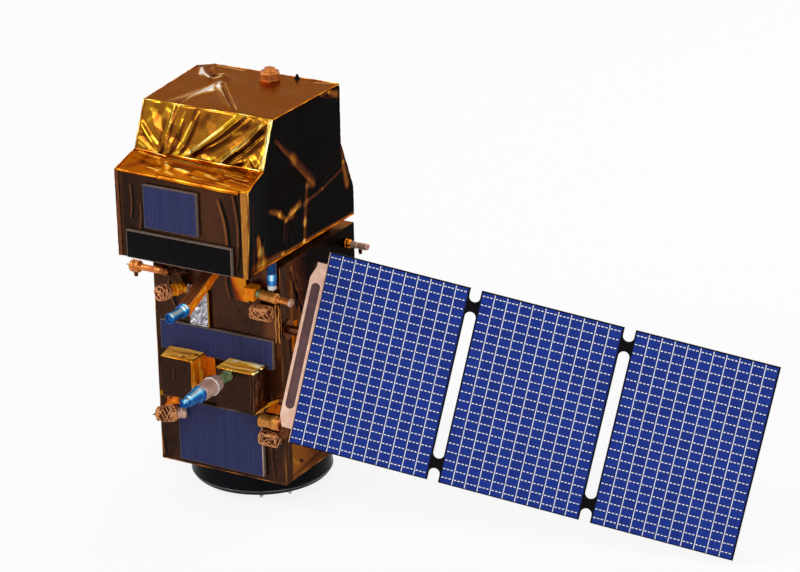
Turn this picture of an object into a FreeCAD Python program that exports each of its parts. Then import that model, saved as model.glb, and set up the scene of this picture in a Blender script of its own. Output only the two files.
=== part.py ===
import FreeCAD, Part
import math
import os
import re
import Sketcher
from FreeCAD import Placement, Rotation, Vector

# Display model of an Earth-observation satellite, 1:10. Millimetres, +Z up.
# The origin is the middle of the adapter face, the flat land under the drum, and
# -Y is the front, which carries the radiators. The solar wing turns on its shaft,
# which is parallel to X and leaves the bus's right side.

DIMENSIONS = {
    # Bevel on small turned pieces
    "Bevel": 1.0,
    # Adapter drum with its flat face, and the small nozzles under it
    "DrumHeight": 23.0,
    "DrumEdge": 5.0,
    "FaceInset": 20.0,
    "FaceHeight": 1.0,
    "PegInset": 14.0,
    "PegPairAngle": 10.0,
    "PegSplayAngle": 72.0,
    "PegTiltAngle": 52.0,
    "PegLength": 7.0,
    "PegRadius": 1.3,
    "PegBaseRadius": 3.2,
    "PegBaseHeight": 3.2,
    # Bus
    "BusWidth": 130.0,
    "BusDepth": 128.0,
    "BusHeight": 206.0,
    "TrimWidth": 11.0,
    "TrimThick": 0.8,
    "SlotInset": 23.0,
    "SlotBase": 14.5,
    "SlotLength": 7.0,
    "SlotHeight": 2.6,
    "SlotDepth": 3.0,
    # Hood over the bus
    "HoodGap": 7.8,
    "HoodHeight": 127.5,
    "HoodOverhang": 51.0,
    "HoodFaceHeight": 79.2,
    "LedgeDepth": 30.8,
    "LedgeRise": 8.0,
    "SlopeDepth": 17.8,
    "BackFaceHeight": 26.5,
    "BackSlopeHeight": 46.2,
    "BackSetback": 19.6,
    "TentReach": 11.0,
    "TentInset": 9.0,
    "TentHeight": 55.0,
    "HoodTrimWidth": 8.0,
    "FootRadius": 8.0,
    "FootInset": 22.0,
    # Face plates: three radiators and the black aperture cover
    "PlateThick": 4.0,
    "LowerPlateMargin": 20.75,
    "LowerPlateGap": 13.5,
    "LowerPlateShift": 0.5,
    "LowerPlateBase": 5.2,
    "UpperPlateMargin": 6.5,
    "UpperPlateHeight": 27.0,
    "UpperPlateShift": -0.5,
    "UpperPlateBelowTop": 68.5,
    "HoodPlateMargin": 38.0,
    "HoodPlateHeight": 39.0,
    "HoodPlateShift": -8.3,
    "HoodPlateBase": 31.2,
    "CoverMargin": 11.5,
    "CoverHeight": 25.4,
    "CoverShift": -1.3,
    "CoverBase": 0.8,
    # Equipment boxes below the upper radiator
    "CaseWidth": 38.0,
    "CaseDepth": 27.0,
    "CaseHeight": 37.0,
    "CaseBelowTop": 92.0,
    "CaseSpacing": 63.5,
    "CaseShift": 0.8,
    "CaseSlant": 6.0,
    # Antenna on the right box
    "AntennaInset": 12.5,
    "AntennaDrop": 5.5,
    "AntennaBaseRadius": 5.5,
    "AntennaBaseLength": 15.2,
    "CollarRadius": 11.5,
    "CollarLength": 29.3,
    "CollarRim": 3.0,
    "ConeRadius": 9.2,
    "ConeTipRadius": 4.9,
    "ConeLength": 25.5,
    "ConeRootLength": 5.0,
    "TipRadius": 4.2,
    "TipLength": 1.5,
    # Arm under the hood, with the blue horn on its end
    "ArmShift": 0.9,
    "ArmWidth": 10.5,
    "ArmHeight": 10.0,
    "ArmLength": 52.5,
    "ArmDrop": 22.5,
    "ArmBelowTop": 8.6,
    "HornRadius": 6.2,
    "HornRootLength": 6.5,
    "HornNeckRadius": 4.6,
    "HornLength": 23.9,
    "HornLipRadius": 4.9,
    "HornLipLength": 5.0,
    # Nozzle group on the right, under the hood
    "StrapGap": 7.55,
    "StrapClear": 0.3,
    "StrapTaper": 4.2,
    "StrapLength": 36.0,
    "StrapThick": 3.0,
    "StrapLean": 7.8,
    "ValveShift": 40.4,
    "ValveWidth": 10.4,
    "ValveHeight": 11.5,
    "ValveDepth": 12.0,
    "ValveBelowTop": 24.3,
    "RingRadius": 3.8,
    "RingLength": 4.5,
    "RingRoot": 1.0,
    "NozzleInset": 6.0,
    "NozzleDroopAngle": 5.0,
    "NozzleRadius": 4.9,
    "NozzleLength": 16.0,
    "NozzleTipRadius": 3.0,
    "NozzleTipLength": 15.0,
    "NozzleLip": 0.7,
    "NozzleLipLength": 2.8,
    "SensorRadius": 4.6,
    "SensorInset": 4.2,
    "SensorLength": 27.3,
    "SensorEndLength": 5.0,
    "SensorClear": 0.8,
    "StripWidth": 4.8,
    "StripThick": 1.2,
    "StripInset": 0.2,
    "StripLength": 36.0,
    "StripBelowTop": 34.0,
    # Braided knots of copper wire: ridges wound on a core
    "KnotInset": 14.8,
    "KnotRadius": 7.4,
    "KnotLength": 18.4,
    "KnotRidge": 1.6,
    "KnotBelowTop": 41.1,
    # Thruster can and rod on the left, under the hood
    "CanShift": -33.0,
    "CanBelowTop": 34.8,
    "CanAngle": 27.0,
    "CanLength": 29.0,
    "CanRootRadius": 5.0,
    "CanEndRadius": 7.4,
    "CanEndLength": 13.0,
    "RodShift": -52.0,
    "RodBelowTop": 20.0,
    "RodAhead": 8.0,
    "RodRadius": 3.0,
    "RodLength": 32.0,
    "KnobRadius": 5.6,
    "KnobLength": 10.0,
    "SpikeLength": 5.0,
    "NubRadius": 2.0,
    "NubLength": 8.0,
    "PatchWidth": 20.0,
    "PatchHeight": 33.0,
    "PatchThick": 3.0,
    "PatchShift": -17.0,
    "PatchBelowTop": 34.5,
    # Lower thrusters
    "LowCanShift": -34.9,
    "LowCanAhead": 6.0,
    "LowCanBelowTop": 153.4,
    "LowCanAngle": 55.0,
    "LowCanLength": 26.5,
    "LowCanRootRadius": 6.2,
    "LowCanEndRadius": 8.0,
    "LowCanEndLength": 19.5,
    "LowNozzleGap": 0.6,
    "LowNozzleRadius": 6.6,
    "LowNozzleLength": 21.5,
    "LowNozzleBelowTop": 143.5,
    "LowBandRadius": 7.2,
    "LowBandLength": 4.0,
    "ElbowLength": 5.0,
    "ElbowWidth": 8.0,
    "ElbowDrop": 13.0,
    "LowKnotRadius": 7.0,
    "LowKnotLength": 18.0,
    "LowKnotGap": 2.5,
    # Thrusters near the back corners
    "BackTubeRadius": 4.0,
    "BackTubeLength": 23.0,
    "BackTubeBelowTop": 15.0,
    "BackTubeInset": 15.0,
    "BackCollarRadius": 5.4,
    "BackCollarLength": 6.0,
    "BackNubPlace": 15.0,
    # Top of the hood
    "TopKnobWidth": 20.5,
    "TopKnobHeight": 7.2,
    "TopCrownRadius": 6.0,
    "TopCrownHeight": 3.2,
    "TopKnobShift": 3.0,
    "TopKnobInset": 14.0,
    "TopConeRadius": 2.6,
    "TopConeHeight": 4.0,
    "TopConeShift": 24.0,
    "TopConeInset": 2.8,
    # Solar wing
    "ShaftInset": 10.0,
    "ShaftBelowTop": 60.0,
    "ShaftRadius": 4.0,
    "ShaftFit": 0.05,
    "ShaftDepth": 24.0,
    "FlangeRadius": 9.0,
    "FlangeThick": 2.0,
    "WingReach": 27.4,
    "WingAhead": 8.8,
    "WingDrop": 9.2,
    "WingTurnAngle": -13.5,
    "WingCantAngle": 17.9,
    "WingTipAngle": -7.0,
    "PanelLength": 126.0,
    "PanelHeight": 172.9,
    "PanelGap": 9.9,
    "PanelThick": 2.0,
    "TieInset": 15.9,
    "TieHeight": 8.6,
    "CellThick": 0.5,
    "CellMargin": 1.0,
    "CellGrooveWidth": 0.5,
    "CellGrooveDepth": 0.25,
    "YokeWidth": 12.4,
    "YokeThick": 2.0,
    "YokeTopInset": 11.5,
    "YokeBottomInset": 12.5,
    "YokeTaper": 10.0,
    "YokeSlotWidth": 8.0,
    "YokeSlotEnd": 29.5,
    "YokeSlotInset": 5.8,
    "YokeNotch": 3.8,
    "HubShift": 10.0,
    "HubWidth": 18.0,
    "HubThick": 13.0,
    "HubReach": 8.0,
}

CORNERS = 4
PANELS = 3
CELL_COLUMNS = 11
KNOT_RIDGES = 6
KNOB_SIDES = 6

doc = FreeCAD.newDocument("Satellite")
sheet = doc.addObject("Spreadsheet::Sheet", "Sizes")
for row, (alias, number) in enumerate(DIMENSIONS.items(), start=1):
    sheet.set(f"A{row}", alias)
    sheet.set(f"B{row}", str(number))
    sheet.setAlias(f"B{row}", alias)
doc.recompute()

subparts = []

# Planes and levels that several pieces share, as expressions in the sheet's names
FRONT = "(-BusDepth / 2)"
BACK = "(BusDepth / 2)"
RIGHT = "(BusWidth / 2)"
LEFT = "(-BusWidth / 2)"
BUS_BASE = "DrumHeight"
BUS_TOP = "(DrumHeight + BusHeight)"
HOOD_BASE = "(DrumHeight + BusHeight + HoodGap)"
HOOD_FRONT = "(-BusDepth / 2 - HoodOverhang)"
HOOD_TOP = "(DrumHeight + BusHeight + HoodGap + HoodHeight)"
HOOD_BACK = "(BusDepth / 2 - BackSetback)"
CASE_FRONT = "(-BusDepth / 2 - CaseDepth)"
CASE_BASE = "(DrumHeight + BusHeight - CaseBelowTop - CaseHeight)"
SHAFT_Y = "(-BusDepth / 2 + ShaftInset)"
SHAFT_Z = "(DrumHeight + BusHeight - ShaftBelowTop)"

TURNS = {
    "Z": Rotation(),
    "-Z": Rotation(Vector(1, 0, 0), 180),
    "X": Rotation(Vector(0, 1, 0), 90),
    "-X": Rotation(Vector(0, 1, 0), -90),
    "-Y": Rotation(Vector(1, 0, 0), 90),
}


def linked(text):
    """The same expression with each name read from the sheet."""
    return re.sub(r"\b([A-Z][A-Za-z]+)\b", r"Sizes.\1", text)


def value(text):
    """What an expression comes to now, in millimetres or degrees."""
    return float(sheet.evalExpression(text))


def bind(obj, **expressions):
    for prop, text in expressions.items():
        obj.setExpression(prop, linked(text))
    return obj


def place(obj, x="0", y="0", z="0"):
    for axis, text in zip("xyz", (x, y, z)):
        obj.setExpression(f"Placement.Base.{axis}", linked(text))
    return obj


def keep(obj, label):
    """Name a finished sub-part."""
    obj.Label = label
    subparts.append(obj)
    return obj


def block(name, x, y, z, length, width, height):
    """A box from its low corner."""
    obj = bind(doc.addObject("Part::Box", name), Length=length, Width=width, Height=height)
    return place(obj, x, y, z)


def rod(name, along, x, y, z, radius, length):
    """A cylinder that leaves its base point along one axis."""
    obj = bind(doc.addObject("Part::Cylinder", name), Radius=radius, Height=length)
    obj.Placement = Placement(Vector(), TURNS[along])
    return place(obj, x, y, z)


def taper(name, along, x, y, z, radius, end_radius, length):
    """A cone frustum that leaves its base point along one axis."""
    obj = doc.addObject("Part::Cone", name)
    bind(obj, Radius1=radius, Radius2=end_radius, Height=length)
    obj.Placement = Placement(Vector(), TURNS[along])
    return place(obj, x, y, z)


def fuse(name, *shapes):
    obj = doc.addObject("Part::MultiFuse", name)
    obj.Shapes = list(shapes)
    return obj


def cut(name, base, tool):
    obj = doc.addObject("Part::Cut", name)
    obj.Base = base
    obj.Tool = tool
    return obj


def body(name):
    return doc.addObject("PartDesign::Body", name)


def sketch_on(owner, name, plane):
    sketch = owner.newObject("Sketcher::SketchObject", name)
    role = f"{plane}_Plane"
    support = next(item for item in owner.Origin.OriginFeatures if item.Role == role)
    sketch.AttachmentSupport = [(support, "")]
    sketch.MapMode = "FlatFace"
    return sketch


def draw_outline(sketch, points):
    """Straight lines through corners that are each held by two distances from the sheet."""
    corners = [Vector(value(u), value(v), 0) for u, v in points]
    count = len(corners)
    for index, corner in enumerate(corners):
        sketch.addGeometry(Part.LineSegment(corner, corners[(index + 1) % count]))
    for index, (u, v) in enumerate(points):
        sketch.addConstraint(
            Sketcher.Constraint("Coincident", index, 2, (index + 1) % count, 1))
        for kind, text in (("DistanceX", u), ("DistanceY", v)):
            held = Sketcher.Constraint(kind, -1, 1, index, 1, value(text))
            number = sketch.addConstraint(held)
            sketch.setExpression(f"Constraints[{number}]", linked(text))
    return sketch


def draw_slot(sketch, x, low, high, radius):
    """A slot along Y with round ends, about the line at x."""
    middle, bottom, top, end = value(x), value(low), value(high), value(radius)
    up = Vector(0, 0, 1)
    sketch.addGeometry(Part.ArcOfCircle(
        Part.Circle(Vector(middle, top, 0), up, end), 0, math.pi))
    sketch.addGeometry(Part.LineSegment(
        Vector(middle - end, top, 0), Vector(middle - end, bottom, 0)))
    sketch.addGeometry(Part.ArcOfCircle(
        Part.Circle(Vector(middle, bottom, 0), up, end), math.pi, 2 * math.pi))
    sketch.addGeometry(Part.LineSegment(
        Vector(middle + end, bottom, 0), Vector(middle + end, top, 0)))
    for first, second in ((0, 1), (1, 2), (2, 3), (3, 0)):
        sketch.addConstraint(Sketcher.Constraint("Tangent", first, 2, second, 1))
    for kind, arc, text in (
        ("DistanceX", 0, x), ("DistanceY", 0, high), ("DistanceX", 2, x), ("DistanceY", 2, low),
    ):
        number = sketch.addConstraint(Sketcher.Constraint(kind, -1, 1, arc, 3, value(text)))
        sketch.setExpression(f"Constraints[{number}]", linked(text))
    number = sketch.addConstraint(Sketcher.Constraint("Radius", 0, end))
    sketch.setExpression(f"Constraints[{number}]", linked(radius))
    return sketch


def rectangle(low_u, low_v, high_u, high_v):
    return [(low_u, low_v), (high_u, low_v), (high_u, high_v), (low_u, high_v)]


def pad(owner, name, sketch, length, midplane=False, reverse=False):
    feature = owner.newObject("PartDesign::Pad", name)
    feature.Profile = sketch
    feature.Midplane = midplane
    feature.Reversed = reverse
    bind(feature, Length=length)
    return feature


def pocket_through(owner, name, sketch):
    feature = owner.newObject("PartDesign::Pocket", name)
    feature.Profile = sketch
    feature.Type = "ThroughAll"
    feature.Midplane = True
    return feature


def turned(name, profile):
    """A body of revolution about its own Z: the profile gives radius and height."""
    owner = body(name)
    half = sketch_on(owner, f"{name}Half", "XZ")
    draw_outline(half, profile)
    feature = owner.newObject("PartDesign::Revolution", f"{name}Turned")
    feature.Profile = half
    feature.ReferenceAxis = (half, ["V_Axis"])
    feature.Angle = 360
    return owner


def stepped(steps):
    """The profile of plain steps, as (radius, length) from the base up."""
    points = [("0", "0")]
    level = "0"
    for radius, length in steps:
        points.append((radius, level))
        level = f"{level} + {length}"
        points.append((radius, level))
    points.append(("0", level))
    return points


def ridged(radius, length, ridge, count):
    """The profile of a core wound with ridges."""
    points = [("0", "0"), (f"{radius} - {ridge}", "0")]
    for index in range(count):
        points.append((radius, f"{length} * {index + 0.5} / {count}"))
        points.append((f"{radius} - {ridge}", f"{length} * {index + 1} / {count}"))
    points.append(("0", length))
    return points


def aim(obj, turn, x, y, z):
    """Turn a body whose axis is Z, with its base at a bound place."""
    obj.Placement = Placement(Vector(), turn)
    return place(obj, x, y, z)


def make_drum():
    """The black adapter drum, as deep as the bus, with its face proud of a rounded lower edge."""
    drum = turned("Drum", [
        ("0", "0"),
        (f"{BACK} - FaceInset", "0"),
        (f"{BACK} - FaceInset", "FaceHeight"),
        (BACK, "FaceHeight"),
        (BACK, "DrumHeight"),
        ("0", "DrumHeight"),
    ])
    doc.recompute()
    whole = drum.Tip
    number = max(
        (edge.BoundBox.DiagonalLength, number)
        for number, edge in enumerate(whole.Shape.Edges, start=1)
        if edge.BoundBox.ZMax < value("DrumEdge"))[1]
    rounded = drum.newObject("PartDesign::Fillet", "DrumRounded")
    rounded.Base = (whole, [f"Edge{number}"])
    bind(rounded, Radius="DrumEdge")
    keep(drum, "adapter_drum")


def make_pegs():
    """Pairs of small nozzles that splay from under the drum, below each bus corner."""
    tilt = math.radians(value("PegTiltAngle"))
    solids = []
    for corner in range(CORNERS):
        middle = 360 * (corner + 0.5) / CORNERS
        for side in (-1, 1):
            spot = math.radians(middle + side * value("PegPairAngle"))
            heading = spot + side * math.radians(value("PegSplayAngle"))
            base = Vector(math.cos(spot), math.sin(spot), 0) * value(f"{BACK} - PegInset")
            base.z = value("FaceHeight")
            away = Vector(
                math.cos(heading) * math.sin(tilt),
                math.sin(heading) * math.sin(tilt),
                -math.cos(tilt))
            foot = Part.makeCylinder(
                value("PegBaseRadius"), value("PegBaseHeight"), base, Vector(0, 0, -1))
            start = base - Vector(0, 0, value("PegBaseHeight") / 2)
            peg = Part.makeCylinder(value("PegRadius"), value("PegLength"), start, away)
            solids.append(foot.fuse(peg).removeSplitter())
    pegs = doc.addObject("Part::Feature", "Pegs")
    pegs.Shape = Part.makeCompound(solids)
    keep(pegs, "base_nozzles")


def make_bus():
    """The bus box, bored for the wing's shaft and slotted low on its right side."""
    box = block("BusBlank", LEFT, FRONT, BUS_BASE, "BusWidth", "BusDepth", "BusHeight")
    bore = rod(
        "ShaftBore", "X", f"{RIGHT} - ShaftDepth", SHAFT_Y, SHAFT_Z,
        "ShaftRadius + ShaftFit", "ShaftDepth")
    slot = block(
        "SideSlot", f"{RIGHT} - SlotDepth", f"{FRONT} + SlotInset", f"{BUS_BASE} + SlotBase",
        "SlotDepth", "SlotLength", "SlotHeight")
    bus = keep(cut("Bus", cut("BoredBus", box, bore), slot), "bus_box")
    seat = rod(
        "FlangeSeat", "X", RIGHT, SHAFT_Y, SHAFT_Z, "FlangeRadius", "TrimThick")
    right = block("TrimRight", RIGHT, FRONT, BUS_BASE, "TrimThick", "TrimWidth", "BusHeight")
    keep(cut("TrimRightCut", right, seat), "bus_trim_right")
    left = block(
        "TrimLeft", f"{LEFT} - TrimThick", FRONT, BUS_BASE, "TrimThick", "TrimWidth", "BusHeight")
    keep(left, "bus_trim_left")
    return bus


def make_flange():
    """The bearing flange round the wing's shaft."""
    disc = rod("FlangeDisc", "X", RIGHT, SHAFT_Y, SHAFT_Z, "FlangeRadius", "FlangeThick")
    hole = rod(
        "FlangeHole", "X", RIGHT, SHAFT_Y, SHAFT_Z, "ShaftRadius + ShaftFit", "FlangeThick")
    keep(cut("Flange", disc, hole), "wing_flange")


def make_tent():
    """The film tent that stands out at the hood's top back left corner."""
    top, edge = value(HOOD_TOP), value(LEFT)
    front = Vector(edge, value(f"{HOOD_FRONT} + LedgeDepth + SlopeDepth"), top)
    back = Vector(edge, value(HOOD_BACK), top)
    out = Vector(edge - value("TentReach"), value(f"{HOOD_BACK} - TentInset"), top)
    low = Vector(edge, value(f"{HOOD_BACK} - TentInset"), top - value("TentHeight"))
    faces = [
        Part.Face(Part.makePolygon([a, b, c, a]))
        for a, b, c in ((front, back, out), (front, out, low), (out, back, low), (front, low, back))
    ]
    tent = doc.addObject("Part::Feature", "Tent")
    tent.Shape = Part.Solid(Part.Shell(faces))
    return tent


def make_hood():
    """The hood over the bus: sloped front, ledge, stepped back, and the feet it stands on."""
    hood = body("HoodBody")
    side = sketch_on(hood, "HoodSide", "YZ")
    ledge_back = f"{HOOD_FRONT} + LedgeDepth"
    face_top = f"{HOOD_BASE} + HoodFaceHeight"
    bulge_top = f"{HOOD_BASE} + BackFaceHeight"
    draw_outline(side, [
        (HOOD_FRONT, HOOD_BASE),
        (BACK, HOOD_BASE),
        (BACK, bulge_top),
        (HOOD_BACK, f"{bulge_top} + BackSlopeHeight"),
        (HOOD_BACK, HOOD_TOP),
        (f"{ledge_back} + SlopeDepth", HOOD_TOP),
        (ledge_back, f"{face_top} + LedgeRise"),
        (HOOD_FRONT, face_top),
    ])
    pad(hood, "HoodPad", side, "BusWidth", midplane=True)
    keep(fuse("Hood", hood, make_tent()), "hood_shell")
    for label, x in (("right", f"{RIGHT} - HoodTrimWidth"), ("left", LEFT)):
        trim = block(
            f"HoodTrim_{label}", x, f"{HOOD_FRONT} - TrimThick", HOOD_BASE,
            "HoodTrimWidth", "TrimThick", "HoodFaceHeight")
        keep(trim, f"hood_trim_{label}")
    feet = []
    for x_sign in (-1, 1):
        for y_sign in (-1, 1):
            feet.append(rod(
                f"Foot{len(feet)}", "Z", f"{x_sign} * ({RIGHT} - FootInset)",
                f"{y_sign} * ({BACK} - FootInset)", BUS_TOP, "FootRadius", "HoodGap"))
    legs = doc.addObject("Part::Compound", "Feet")
    legs.Links = feet
    keep(legs, "hood_feet")


def make_plates():
    """The radiator plates and the black cover, each standing on its face."""
    lower_top = f"({CASE_BASE} - LowerPlateGap)"
    lower_base = f"({BUS_BASE} + LowerPlateBase)"
    rows = (
        ("radiator_lower", "LowerPlate", FRONT, lower_base, f"{lower_top} - {lower_base}"),
        ("radiator_upper", "UpperPlate", FRONT,
         f"{BUS_TOP} - UpperPlateBelowTop - UpperPlateHeight", "UpperPlateHeight"),
        ("radiator_hood", "HoodPlate", HOOD_FRONT, f"{HOOD_BASE} + HoodPlateBase",
         "HoodPlateHeight"),
        ("aperture_cover", "Cover", HOOD_FRONT, f"{HOOD_BASE} + CoverBase", "CoverHeight"),
    )
    plates = {}
    for label, stem, face, level, height in rows:
        width = f"(BusWidth - 2 * {stem}Margin)"
        plates[label] = keep(block(
            stem, f"{stem}Shift - {width} / 2", f"{face} - PlateThick", level,
            width, "PlateThick", height), label)
    return plates


def make_cases(plate):
    """Two equipment boxes, relieved where they cover the upper radiator's lower edge."""
    for label, sign, slant in (("left", -1, "CaseSlant"), ("right", 1, "0")):
        middle = f"(CaseShift + {sign} * CaseSpacing / 2)"
        case = body(f"Case{label}")
        plan = sketch_on(case, f"Plan{label}", "XY")
        draw_outline(plan, [
            (f"{middle} - CaseWidth / 2", FRONT),
            (f"{middle} - CaseWidth / 2 + {slant}", CASE_FRONT),
            (f"{middle} + CaseWidth / 2", CASE_FRONT),
            (f"{middle} + CaseWidth / 2", FRONT),
        ])
        pad(case, f"CasePad{label}", plan, "CaseHeight")
        place(case, z=CASE_BASE)
        keep(cut(f"CaseCut{label}", case, plate), f"equipment_box_{label}")


def make_antenna():
    """The stepped antenna that points forward from the right box."""
    x = "CaseShift + CaseSpacing / 2 - CaseWidth / 2 + AntennaInset"
    z = f"{CASE_BASE} + CaseHeight - AntennaDrop"
    base_end = f"{CASE_FRONT} - AntennaBaseLength"
    collar_end = f"{base_end} - CollarLength"
    pieces = (
        ("antenna_base", "AntennaBase", CASE_FRONT,
         stepped([("AntennaBaseRadius", "AntennaBaseLength")])),
        ("antenna_collar", "Collar", base_end, [
            ("0", "0"),
            ("CollarRadius", "0"),
            ("CollarRadius", "CollarRim"),
            ("CollarRadius - Bevel", "CollarRim"),
            ("(CollarRadius + ConeRadius) / 2", "CollarLength - CollarRim"),
            ("ConeRadius + Bevel / 2", "CollarLength"),
            ("0", "CollarLength"),
        ]),
        ("antenna_cone", "Cone", collar_end, [
            ("0", "0"),
            ("ConeRadius", "0"),
            ("ConeRadius", "ConeRootLength"),
            ("ConeRadius - Bevel", "ConeRootLength + Bevel"),
            ("ConeTipRadius + Bevel", "ConeLength - ConeRootLength"),
            ("ConeTipRadius", "ConeLength - ConeRootLength"),
            ("ConeTipRadius", "ConeLength"),
            ("0", "ConeLength"),
        ]),
        ("antenna_tip", "Tip", f"{collar_end} - ConeLength",
         stepped([("TipRadius", "TipLength")])),
    )
    for label, name, y, profile in pieces:
        keep(aim(turned(name, profile), TURNS["-Y"], x, y, z), label)


def make_arm():
    """The square arm that droops forward from under the hood, and its horn."""
    root = f"({BUS_TOP} - ArmBelowTop)"
    arm = body("ArmBody")
    side = sketch_on(arm, "ArmSide", "YZ")
    draw_outline(side, [
        (FRONT, f"{root} - ArmHeight / 2"),
        (f"{FRONT} - ArmLength", f"{root} - ArmDrop - ArmHeight / 2"),
        (f"{FRONT} - ArmLength", f"{root} - ArmDrop + ArmHeight / 2"),
        (FRONT, f"{root} + ArmHeight / 2"),
    ])
    pad(arm, "ArmPad", side, "ArmWidth", midplane=True)
    place(arm, x="ArmShift")
    keep(arm, "forward_arm")
    horn = turned("Horn", stepped([
        ("HornRadius", "HornRootLength"),
        ("HornNeckRadius", "(HornLength - HornRootLength - HornLipLength)"),
        ("HornLipRadius", "HornLipLength"),
    ]))
    aim(horn, TURNS["-Y"], "ArmShift", f"{FRONT} - ArmLength", f"{root} - ArmDrop")
    keep(horn, "blue_horn")


def make_knot(name, radius, length):
    """A knot of braided copper wire, as ridges wound on a core."""
    return turned(name, ridged(radius, length, "KnotRidge", KNOT_RIDGES))


def make_right_group():
    """The strap, valve, ring, nozzle and knot on the right, with the sensor and its strip."""
    valve_z = f"({BUS_TOP} - ValveBelowTop)"
    left = "(ArmShift + ArmWidth / 2 + StrapGap)"
    right = "(ValveShift - ValveWidth / 2 - StrapClear)"
    strap = body("StrapBody")
    outline = sketch_on(strap, "StrapFront", "XZ")
    bottom = f"{BUS_TOP} - StrapLength"
    draw_outline(outline, [
        (f"{left} + StrapLean", bottom),
        (right, bottom),
        (f"{right} - StrapTaper", BUS_TOP),
        (left, BUS_TOP),
    ])
    pad(strap, "StrapPad", outline, "StrapThick")
    place(strap, y=FRONT)
    keep(strap, "valve_strap")
    valve = keep(block(
        "Valve", "ValveShift - ValveWidth / 2", f"{FRONT} - ValveDepth",
        f"{valve_z} - ValveHeight / 2", "ValveWidth", "ValveDepth", "ValveHeight"),
        "valve_block")
    axis_y = f"{FRONT} - NozzleInset"
    start = "ValveShift + ValveWidth / 2"
    droop = math.radians(value("NozzleDroopAngle"))
    along = Rotation(Vector(0, 0, 1), Vector(math.cos(droop), 0, -math.sin(droop)))
    ring = turned("Ring", [
        ("0", "-RingRoot"),
        ("RingRadius", "-RingRoot"),
        ("RingRadius", "RingLength"),
        ("0", "RingLength"),
    ])
    aim(ring, along, start, axis_y, valve_z)
    keep(cut("RingCoped", ring, valve), "valve_ring")
    nozzle = turned("Nozzle", stepped([
        ("NozzleRadius", "NozzleLength"),
        ("NozzleTipRadius", "(NozzleTipLength - NozzleLipLength)"),
        ("NozzleTipRadius + NozzleLip", "NozzleLipLength"),
    ]))
    aim(nozzle, along, f"{start} + RingLength * cos(NozzleDroopAngle)", axis_y,
        f"{valve_z} - RingLength * sin(NozzleDroopAngle)")
    keep(nozzle, "thruster_nozzle_upper")
    knot = make_knot("KnotUpper", "KnotRadius", "KnotLength")
    aim(knot, TURNS["X"], f"{RIGHT} - KnotInset - KnotLength / 2", f"{FRONT} - KnotRadius",
        f"{BUS_TOP} - KnotBelowTop")
    keep(knot, "braided_knot_upper")
    sensor = turned("Sensor", stepped([
        ("SensorRadius", "(SensorLength - SensorEndLength)"),
        ("SensorRadius - Bevel", "SensorEndLength"),
    ]))
    aim(sensor, TURNS["-Z"], f"{RIGHT} - SensorInset", f"{FRONT} - SensorRadius - SensorClear",
        HOOD_BASE)
    keep(sensor, "hood_sensor")
    keep(block(
        "Strip", f"{RIGHT} - StripInset - StripWidth", f"{FRONT} - StripThick",
        f"{BUS_TOP} - StripBelowTop - StripLength", "StripWidth", "StripThick", "StripLength"),
        "feed_strip")


def slanted(angle):
    """The turn from +Z to the level line that leaves the front at an angle to the left."""
    turn = math.radians(value(angle))
    return Rotation(Vector(0, 0, 1), Vector(-math.sin(turn), -math.cos(turn), 0))


def make_left_group(bus):
    """The braided can, the rod with its knob, and the silver patch on the left."""
    can = turned("Can", [
        ("0", "-CanRootRadius"),
        ("CanRootRadius", "-CanRootRadius"),
        ("CanRootRadius", "0"),
        ("CanRootRadius + Bevel", "(CanLength - CanEndLength) / 2"),
        ("CanRootRadius", "CanLength - CanEndLength"),
        ("CanEndRadius", "CanLength - CanEndLength"),
        ("CanEndRadius", "CanLength - 2 * Bevel"),
        ("CanEndRadius - 2 * Bevel", "CanLength"),
        ("0", "CanLength"),
    ])
    aim(can, slanted("CanAngle"), "CanShift", FRONT, f"{BUS_TOP} - CanBelowTop")
    keep(cut("CanCoped", can, bus), "thruster_can_upper")
    y = f"{FRONT} - RodAhead"
    z = f"{BUS_TOP} - RodBelowTop"
    end = "RodShift - RodLength"
    rod_body = turned("Rod", [
        ("0", "0"),
        ("RodRadius", "0"),
        ("RodRadius", "RodLength - KnobLength"),
        ("KnobRadius", "RodLength - KnobLength + Bevel"),
        ("KnobRadius", "RodLength - Bevel"),
        ("KnobRadius - 2 * Bevel", "RodLength"),
        ("0", "RodLength + SpikeLength"),
    ])
    aim(rod_body, TURNS["-X"], "RodShift", y, z)
    foot = block(
        "RodFoot", "RodShift - 2 * RodRadius", y, f"{z} - RodRadius",
        "2 * RodRadius", "RodAhead", "2 * RodRadius")
    nub = rod(
        "RodNub", "-Z", f"{end} + KnobLength / 2", y, z, "NubRadius", "KnobRadius + NubLength / 2")
    keep(fuse("RodFused", rod_body, foot, nub), "thruster_rod_upper")
    keep(block(
        "Patch", "PatchShift - PatchWidth / 2", f"{FRONT} - PatchThick",
        f"{BUS_TOP} - PatchBelowTop - PatchHeight", "PatchWidth", "PatchThick", "PatchHeight"),
        "foil_patch")


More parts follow.
